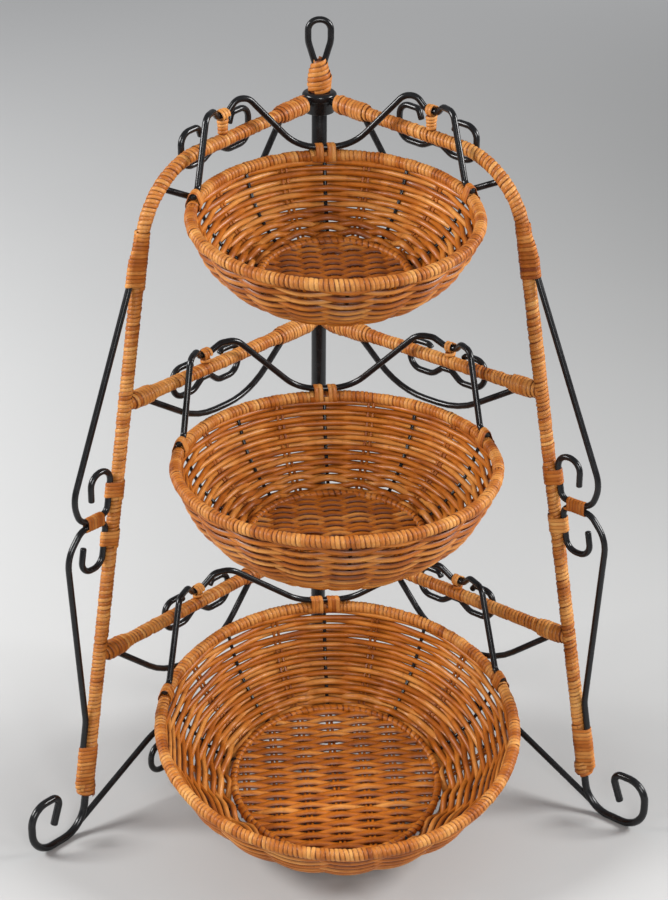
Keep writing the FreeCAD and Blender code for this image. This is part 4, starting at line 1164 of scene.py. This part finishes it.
class BASKETSTAND_OT_wing_bindings(bpy.types.Operator):
    """Cane strips that bind the wires to the legs and the hangers to the rails"""
    bl_idname = "basket_stand.wing_bindings"
    bl_label = "Wing bindings"

    def execute(self, context):
        for number, side in enumerate(SIDES):
            strands = [*self.on_leg(side, 10 * number), self.waist(side, number)]
            make_piece(f"{side}_leg_bindings", strands, [f"{side}_leg_lashings"], "binding")
            strands = self.on_rails(side, 10 * number)
            make_piece(f"{side}_rail_bindings", strands, [f"{side}_rail_lashings"], "binding")
        return {"FINISHED"}

    def on_leg(self, side, turn):
        """Bindings of the leg scrolls at the shoulder, beside both curls and at the foot.

        Shoulder and foot bindings taper towards the leg past the end of the wire."""
        s = stand()
        wrap_r, wire_r = s.wrap_dia / 2 + s.seat_gap, s.wire_dia / 2 + s.seat_gap
        beside = s.wrap_dia / 2 + s.wire_dia / 2
        shoulder = wing_point(side, s.shoulder_reach, shoulder_z())
        down = unit(wing_point(side, s.foot_reach, foot_z()) - shoulder)
        shoulder_height = s.bow_leave + s.shoulder_band / 2 - SHOULDER_OVERLAP
        bands = (
            (shoulder_height, s.shoulder_band, -1, s.bow_top, SHOULDER_TONE),
            ((s.curl_top + s.bow_waist) / 2, s.curl_band, 0, s.bow_waist, EVEN_TONE),
            ((s.curl_bottom + s.bow_waist) / 2, s.curl_band, 0, s.bow_waist, EVEN_TONE),
            (s.wrap_end + s.foot_band / 2, s.foot_band, 1, s.bow_foot, EVEN_TONE),
        )
        strands = []
        for row, (height, span, taper, wire_end, tone) in enumerate(bands):
            def rise(along, end=height - wire_end, span=span, taper=taper):
                past = taper * (along - end) / (span / 2 - taper * end)
                return beside * (1 - BINDING_TAPER * np.clip(past, 0, 1) ** BINDING_TAPER_POWER)

            middle = wing_point(side, leg_reach(height), height)
            strands.append(binding(middle, down, wing_point(side, 1, 0), span, wrap_r, wire_r, rise,
                                   SEEDS["leg_binding"] + turn + row, tone=tone))
        return strands

    def waist(self, side, number):
        """Binding of the two leg scrolls where they meet."""
        s = stand()
        wire_r = s.wire_dia / 2 + s.seat_gap
        reach = beside_leg(s.bow_waist) + s.bow_waist_out / 2
        low = wing_point(side, reach, s.bow_waist - waist_step())
        return binding(low, wing_point(side, 1, 0), UP, s.waist_band, wire_r, wire_r, 2 * waist_step(),
                       SEEDS["waist"] + number, WAIST_STRIP)

    def on_rails(self, side, turn):
        """A wound post on each rail, and an eye round the hanger on it."""
        s = stand()
        eye_radius = s.wire_dia / 2 + s.run_gap + EYE_LAYERS * s.strip_thickness
        strands = []
        for row, tier in enumerate(TIERS):
            reach, over = tier_size(tier, "hang_reach"), tier_size(tier, "valley_rise")
            middle = wing_point(side, reach, rail_z(tier, reach))
            foot = s.wrap_dia / 2 - s.strip_thickness
            top = over - s.wire_dia / 2 - 2 * s.run_gap
            strands += wrap(np.array([middle + UP * foot, middle + UP * top]),
                            lambda along: POST_RADIUS + POST_FLARE * along / along.max(),
                            SEEDS["post"] + turn + row, POST_STRIP, pale=KNOT_PALE)
            half = rail_direction(tier, side) * (s.rail_band / 2)
            strands += wrap(np.array([middle + UP * over - half, middle + UP * over + half]),
                            lambda along: eye_radius + 0 * along,
                            SEEDS["eye"] + turn + row, EYE_STRIP, pale=KNOT_PALE, core=False)
        return strands


# Baskets

def basket_at(tier, places):
    """Places in a basket's own frame, rim centre at zero, as places of the stand."""
    lean = tier_size(tier, "lean_angle")
    cos, sin = math.cos(lean), math.sin(lean)
    turn = np.array([[1, 0, 0], [0, cos, -sin], [0, sin, cos]])
    behind = tier_size(tier, "back_gap") + tier_size(tier, "rim_radius") * math.cos(lean)
    return np.asarray(places) @ turn.T + np.array([0, -behind, tier_size(tier, "rim_height")])


def basket_way(tier, way):
    return basket_at(tier, np.array(way, dtype=float)) - basket_at(tier, np.zeros(3))


def bowl_line(tier):
    """Radius and height of the wall's middle from base to rim, its corners cut round, run and ways."""
    depth, rim = tier_size(tier, "depth"), tier_size(tier, "rim_radius")
    line = [(tier_size(tier, "base_radius"), 0.0)]
    line += [(out * rim, up * depth) for up, out in BOWL_SHARES]
    line = np.array(line + [(rim, depth)])
    for _ in range(3):
        near, far = [line[:-1] * (1 - share) + line[1:] * share for share in (0.25, 0.75)]
        line = np.vstack([line[:1], np.stack([near, far], axis=1).reshape(-1, 2), line[-1:]])
    run = run_of(np.column_stack([line, np.zeros(len(line))]))
    ways = unit(np.gradient(line, run, axis=0))
    return line, run, ways


def bowl_place(tier, run, azimuth, proud=0.0):
    """Points on the wall at runs up from the base and azimuths, so far proud of its middle."""
    line, runs, ways = bowl_line(tier)
    radius, height, out, up = [np.interp(run, runs, values) for values in (*line.T, *ways.T)]
    return ring_places(radius + proud * up, azimuth, height - proud * out - tier_size(tier, "depth"))


def hanger_end(tier, sign):
    """The places on a rim where a hanger comes down to it and where it ends, in the basket's frame."""
    radius, angle = tier_size(tier, "rim_radius"), stand().lash_angle
    angles = (angle, angle - stand().hanger_tail / radius)
    return [np.array([sign * radius * math.cos(a), radius * math.sin(a), 0]) for a in angles]


def hanger_corners(tier):
    s = stand()
    lash, end = [place + UP * on_rim() for place in hanger_end(tier, -1)]
    reach = tier_size(tier, "hang_reach")
    rim = basket_at(tier, lash)
    valley = wing_point("left", reach, rail_z(tier, reach) + tier_size(tier, "valley_rise"))
    run = rail_direction(tier, "left") * (s.valley_run / 2)
    back = basket_at(tier, [-s.hanger_back, tier_size(tier, "rim_radius"), on_rim()])
    small, large = [np.array([0, 0, tier_size(tier, f"{hump}_rise")]) for hump in ("hump", "crest")]
    enter, leave = valley - run, valley + run
    flat_rim, flat_back = [np.array([*place[:2], valley[2]]) for place in (rim, back)]
    humps = [flat_rim + (enter - flat_rim) * share + small for share in HUMP_SHARES]
    crests = [leave + (flat_back - leave) * share + large for share in CREST_SHARES]
    half = [(basket_at(tier, end), 0), (rim, s.hanger_bend), (humps[0], s.hump_bend),
            (humps[1], s.hump_bend), (enter, s.valley_bend), (leave, s.valley_bend),
            (crests[0], s.hump_bend), (crests[1], s.hanger_crest_bend), (back, s.hanger_back_bend)]
    return half + mirrored(half)


class BASKETSTAND_OT_hangers(bpy.types.Operator):
    """Bent wire hangers and wire ribs of the baskets"""
    bl_idname = "basket_stand.hangers"
    bl_label = "Hangers and ribs"

    def execute(self, context):
        s = stand()
        for tier in TIERS:
            basket = f"{tier}_basket"
            wire = draw_wire(hanger_corners(tier), s.wire_dia / 2)
            make_piece(f"{basket}_hanger_wire", [wire], [f"{basket}_hanger"], "wire", basket)
            top = bowl_line(tier)[1][-1]
            runs = np.linspace(RIB_START, top - s.rim_dia / 2, RIB_POINTS)
            ribs = []
            for column in range(0, COLUMNS, 2):
                azimuth = column_turn(column)
                wall = bowl_place(tier, runs, np.full(len(runs), azimuth))
                outward = np.array([math.cos(azimuth), math.sin(azimuth), 0])
                hook = [wall[0] - outward * inside + UP * rise for inside, rise in RIB_HOOK]
                ribs.append(tube(basket_at(tier, np.vstack([hook, wall])), s.rib_dia / 2, RIB_SIDES))
            make_piece(f"{basket}_rib_wires", ribs, [f"{basket}_ribs"], "wire", basket)
        return {"FINISHED"}


def column_turn(column):
    """Azimuth of a column of the weave, the first at the middle of the back."""
    return math.pi / 2 + 2 * math.pi / COLUMNS * column


def stake(tier, line, shade):
    """A straight cane stake of the wall or base, lighter or darker than its like by a shade."""
    radius = stand().stake_dia / 2
    return tube(basket_at(tier, line), radius, STAKE_SIDES, STAKE_TONE + shade, rounded=False)


def weaver(tier, centre, across, size, tone):
    """A weaving strand, flattened against the stakes, with painted shade where its neighbours touch it.
    """
    s = stand()
    outward = unit(np.cross(np.gradient(centre, axis=0), across))
    section = round_section(WEAVER_SIDES)
    rings = (centre[:, None] + section[:, :1] * across[:, None] * (s.weaver_dia / 2 * size)
             + section[:, 1:] * outward[:, None] * (s.weaver_thickness / 2 * size))
    if np.allclose(centre[0], centre[-1]):
        rings[-1] = rings[0]
    # Painted shade at the top and bottom of the strand, where the rows above and below meet it.
    return roll(basket_at(tier, rings), run_of(centre), tone, section[:, 0] ** 2)


class BASKETSTAND_OT_weave(bpy.types.Operator):
    """Woven walls and bases of the baskets"""
    bl_idname = "basket_stand.weave"
    bl_label = "Woven baskets"

    def execute(self, context):
        for number, tier in enumerate(TIERS):
            basket = f"{tier}_basket"
            wall, base = self.wall(tier, number), self.base(tier, number)
            make_piece(f"{basket}_woven_wall", wall, [f"{basket}_wall"], "weave", basket)
            make_piece(f"{basket}_woven_base", base, [f"{basket}_base"], "weave", basket)
        return {"FINISHED"}

    def wall(self, tier, number):
        """Rows in and out of the columns, the stake pairs of every second column, and the foot ring."""
        s = stand()
        rng = np.random.default_rng(SEEDS["wall"] + number)
        top = bowl_line(tier)[1][-1]
        last = top - s.rim_dia / 2 - LAST_ROW_GAP
        rows = round((last - FIRST_ROW) / s.row_pitch) + 1
        azimuth = np.linspace(0, 2 * math.pi, COLUMNS * POINTS_PER_COLUMN + 1)
        turned = COLUMNS / 2 * (azimuth - column_turn(0))
        strands = []
        for row, run in enumerate(np.linspace(FIRST_ROW, last, rows)):
            low = 1 - run / top
            waver = sum(rng.normal(0, 1) * np.cos(k * azimuth + rng.uniform(0, 6)) for k in ROW_WAVES)
            proud = (WEAVE_SWING + FOOT_SWING * low ** 3) * np.cos(turned + math.pi * row)
            proud += ROW_WAVER_OUT * waver - FOOT_PINCH * low ** 3 * np.cos(2 * turned)
            height = run + ROW_WAVER_UP * waver + ROW_SHIFT * rng.normal()
            centre = bowl_place(tier, height, azimuth, proud)
            meridian = unit(bowl_place(tier, height + MERIDIAN_STEP, azimuth, proud) - centre)
            tone = WALL_TONE + WALL_TONE_SWING * rng.normal() + WALL_TONE_WAVER * waver
            size = 1 + FOOT_FULLNESS * low ** 2 + STRAND_SIZE_SWING * rng.normal()
            strands.append(weaver(tier, centre, meridian, size, np.clip(tone, *WALL_TONE_LIMITS)))
        spots = np.linspace(STAKE_END, last + STAKE_END, STAKE_POINTS)
        for column in range(1, COLUMNS, 2):
            turn = column_turn(column)
            for shift in (-STAKE_SHIFT, STAKE_SHIFT):
                aside = np.array([-math.sin(turn), math.cos(turn), 0]) * shift
                line = bowl_place(tier, spots, np.full(len(spots), turn)) + aside
                strands.append(stake(tier, line, STAKE_TONE_SWING * rng.normal()))
        ring = tier_size(tier, "base_radius") - FOOT_RING_INSET
        foot = ring_places(ring, azimuth, FOOT_RING_HEIGHT - tier_size(tier, "depth"))
        return strands + wrap(basket_at(tier, foot), lambda along: FOOT_RING_RADIUS + 0 * along,
                              SEEDS["foot_ring"] + number, FOOT_RING_STRIP, per_turn=8)

    def base(self, tier, number):
        """Strands from side to side, over and under pairs of stakes that run from front to back."""
        rng = np.random.default_rng(SEEDS["base"] + number)
        reach = tier_size(tier, "base_radius") - BASE_INSET
        level = BASE_LEVEL - tier_size(tier, "depth")
        column = reach / (BASE_STAKES + 0.5)
        edge = reach - BASE_MARGIN
        rows = round(2 * edge / stand().row_pitch)
        strands = []
        for row, y in enumerate(np.linspace(-edge, edge, rows)):
            half = math.sqrt(reach ** 2 - y ** 2)
            x = np.linspace(-half, half, max(8, round(2 * half / BASE_STEP)))
            waver = rng.normal(0, BASE_WAVER)
            waver = waver * np.sin(x * rng.uniform(*BASE_WAVER_PACE) + rng.uniform(0, 6))
            bow = BASE_BOW * np.sin(x * BASE_BOW_PACE + BASE_BOW_START)
            lift = BASE_SWING * math.cos(math.pi * row) * np.cos(math.pi * x / column)
            centre = np.stack([x, y + bow + waver, level + lift + waver], axis=1)
            across = np.broadcast_to([0.0, 1.0, 0.0], centre.shape)
            size = BASE_FULLNESS + STRAND_SIZE_SWING * rng.normal()
            tone = EVEN_TONE + BASE_TONE_SWING * rng.normal()
            strands.append(weaver(tier, centre, across, size, tone))
        for count in range(-BASE_STAKES, BASE_STAKES + 1):
            for shift in (-BASE_STAKE_SHIFT, BASE_STAKE_SHIFT):
                x = count * column + shift
                half = math.sqrt(max(reach ** 2 - x ** 2, 0))
                y = np.linspace(-half, half, BASE_STAKE_POINTS)
                line = np.stack([0 * y + x, y, 0 * y + level], axis=1)
                strands.append(stake(tier, line, BASE_STAKE_TONE_SWING * rng.normal()))
        return strands


class BASKETSTAND_OT_rims(bpy.types.Operator):
    """Wrapped rims of the baskets and the strips that bind the hangers to them"""
    bl_idname = "basket_stand.rims"
    bl_label = "Rims and rim bindings"

    def execute(self, context):
        for number, tier in enumerate(TIERS):
            basket = f"{tier}_basket"
            make_piece(f"{basket}_rim_cane", self.rim(tier, number), [f"{basket}_rim"], "rim", basket)
            strands = self.at_back(tier, 2 * number) + self.at_sides(tier, 2 * number)
            make_piece(f"{basket}_rim_bindings", strands, [f"{basket}_lashings"], "binding", basket)
        return {"FINISHED"}

    def rim(self, tier, number):
        """One strip wound round the rim, a little paler towards the back."""
        radius = tier_size(tier, "rim_radius")
        turn = np.linspace(0, 2 * math.pi, RIM_POINTS) + math.pi / 2
        middle = basket_at(tier, np.zeros(3))
        even, backward = RIM_PALE

        # Adds to the tone: a little paler towards the back of the rim.
        def paler_backward(places):
            return even + backward * (places[:, 1] - middle[1]) / radius

        return wrap(basket_at(tier, ring_places(radius, turn, 0.0)),
                    lambda along: stand().rim_dia / 2 + RIM_FULLNESS + 0 * along,
                    SEEDS["rim"] + number, RIM_STRIP, pale=paler_backward)

    def round_both(self, tier, middle, along, span, seed, width=None):
        """A binding round the rim and the hanger on it."""
        s = stand()
        return binding(basket_at(tier, middle), basket_way(tier, along), basket_way(tier, UP), span,
                       s.rim_dia / 2 + RIM_HOLD, s.wire_dia / 2 + HANGER_HOLD, on_rim(), seed, width)

    def at_back(self, tier, turn):
        group = tier_size(tier, "back_band") / 2 - BACK_SPLIT
        behind = tier_size(tier, "rim_radius") - BACK_INSET
        return [self.round_both(tier, [shift * (group / 2 - BACK_OVERLAP), behind, 0], (1, 0, 0), group,
                                SEEDS["back"] + turn + shift, BACK_STRIP)
                for shift in (-1, 1)]

    def at_sides(self, tier, turn):
        s = stand()
        strands = []
        for sign in SIDES.values():
            lash, end = hanger_end(tier, sign)
            along = unit(end - lash)
            middle = lash + along * ((s.hanger_tail + s.hanger_bend) / 2)
            strands.append(self.round_both(tier, middle, along, s.rim_band,
                                           SEEDS["side"] + turn + (sign > 0)))
        return strands


# Studio

def floor_finish():
    """Floor with painted light: a painted pool of light palest towards the left, and painted shade in
    front and under the side lamps.
    """
    look = Finish("basket_stand_floor")
    place = look.object_place()
    x, y = look.part(place, 0), look.part(place, 1)
    across, away, before = x.ramp(*FLOOR_ACROSS), y.ramp(*FLOOR_AWAY), y.ramp(*FLOOR_BEFORE)

    def curve(constant, slope, square):
        return away * (slope + away * square) + constant

    lengthways = curve(*FLOOR_LENGTHWAYS)
    crosswise = across * curve(*FLOOR_CROSSWISE)
    # Painted shade under the side lamps, against their own light on the floor.
    under_lamps = (x * x).ramp(*FLOOR_LAMPS) * (1 - away * FLOOR_LAMPS_FADE).clamped()
    light = (lengthways + crosswise).clamped() * (1 - under_lamps) * (1 - before)
    # Painted light: the floor's colour carries the pool of light and the painted shade.
    body = look.blend(light, tint("floor_dim"), tint("floor_pale"))
    look.feed(Base_Color=body, Roughness=0.55 + look.noise(place, 3.0, 2.0) * 0.2)
    return look.material


def lamp(name, place, power):
    bpy.ops.object.light_add(type="AREA", location=place)
    light = bpy.context.object
    light.name = name
    light.data.shape = "DISK"
    light.data.size = LAMP_SIZE
    light.data.energy = power
    light.rotation_euler = (Vector(LAMP_AIM) - Vector(place)).to_track_quat("-Z", "Y").to_euler()


def camera_pose():
    """Turn of a camera that looks ahead by its yaw, down by its pitch and is tilted sideways."""
    yaw, pitch, tilt = [math.radians(value) for value in (CAMERA_YAW, CAMERA_PITCH, CAMERA_TILT)]
    level = math.cos(pitch)
    ahead = Vector((math.sin(yaw) * level, math.cos(yaw) * level, -math.sin(pitch)))
    right = Vector((math.cos(yaw), -math.sin(yaw), 0))
    top = right.cross(ahead)
    tilted = right * math.cos(tilt) + top * math.sin(tilt)
    top = top * math.cos(tilt) - right * math.sin(tilt)
    return Matrix((tilted, top, -ahead)).transposed().to_euler()


class BASKETSTAND_OT_studio(bpy.types.Operator):
    """Pale floor, soft lamps and the camera"""
    bl_idname = "basket_stand.studio"
    bl_label = "Studio"

    def execute(self, context):
        scene = context.scene
        deselect()
        bpy.ops.mesh.primitive_plane_add(size=FLOOR_SIZE)
        floor = context.object
        floor.name = "studio_floor"
        floor.data.materials.append(floor_finish())
        for name, (place, power) in LAMPS.items():
            lamp(name, place, power)
        world = scene.world or bpy.data.worlds.new("studio_world")
        scene.world = world
        world.use_nodes = True
        sky = world.node_tree.nodes["Background"]
        sky.inputs["Color"].default_value = SKY_TINT
        sky.inputs["Strength"].default_value = SKY_STRENGTH
        bpy.ops.object.camera_add(location=CAMERA_PLACE, rotation=camera_pose())
        camera = context.object
        camera.name = "studio_camera"
        camera.data.lens = CAMERA_LENS
        camera.data.sensor_width = CAMERA_SENSOR
        camera.data.clip_end = CAMERA_CLIP
        scene.camera = camera
        scene.view_settings.view_transform = "Standard"
        return {"FINISHED"}


PIECE_OPERATORS = (
    BASKETSTAND_OT_pole,
    BASKETSTAND_OT_carry_loop,
    BASKETSTAND_OT_wing_wires,
    BASKETSTAND_OT_wing_cane,
    BASKETSTAND_OT_wing_bindings,
    BASKETSTAND_OT_hangers,
    BASKETSTAND_OT_weave,
    BASKETSTAND_OT_rims,
    BASKETSTAND_OT_studio,
)


class BASKETSTAND_PT_panel(bpy.types.Panel):
    """Sizes, colours and pieces of the basket stand"""
    bl_idname = "BASKETSTAND_PT_panel"
    bl_label = "Basket Stand"
    bl_space_type = "VIEW_3D"
    bl_region_type = "UI"
    bl_category = "Basket Stand"

    def draw(self, context):
        layout = self.layout
        for piece in PIECE_OPERATORS:
            layout.operator(piece.bl_idname)
        for group, kind in GROUPS.items():
            for name in kind.__annotations__:
                layout.prop(getattr(context.scene, group), name)


CLASSES = (*GROUPS.values(), *PIECE_OPERATORS, BASKETSTAND_PT_panel)


def register():
    for cls in CLASSES:
        bpy.utils.register_class(cls)
    for group, kind in GROUPS.items():
        setattr(bpy.types.Scene, group, bpy.props.PointerProperty(type=kind))


def unregister():
    for group in GROUPS:
        delattr(bpy.types.Scene, group)
    for cls in reversed(CLASSES):
        bpy.utils.unregister_class(cls)


def main():
    register()
    bpy.ops.basket_stand.pole()
    bpy.ops.basket_stand.carry_loop()
    bpy.ops.basket_stand.wing_wires()
    bpy.ops.basket_stand.wing_cane()
    bpy.ops.basket_stand.wing_bindings()
    bpy.ops.basket_stand.hangers()
    bpy.ops.basket_stand.weave()
    bpy.ops.basket_stand.rims()
    bpy.ops.basket_stand.studio()


if __name__ == "__main__":
    main()
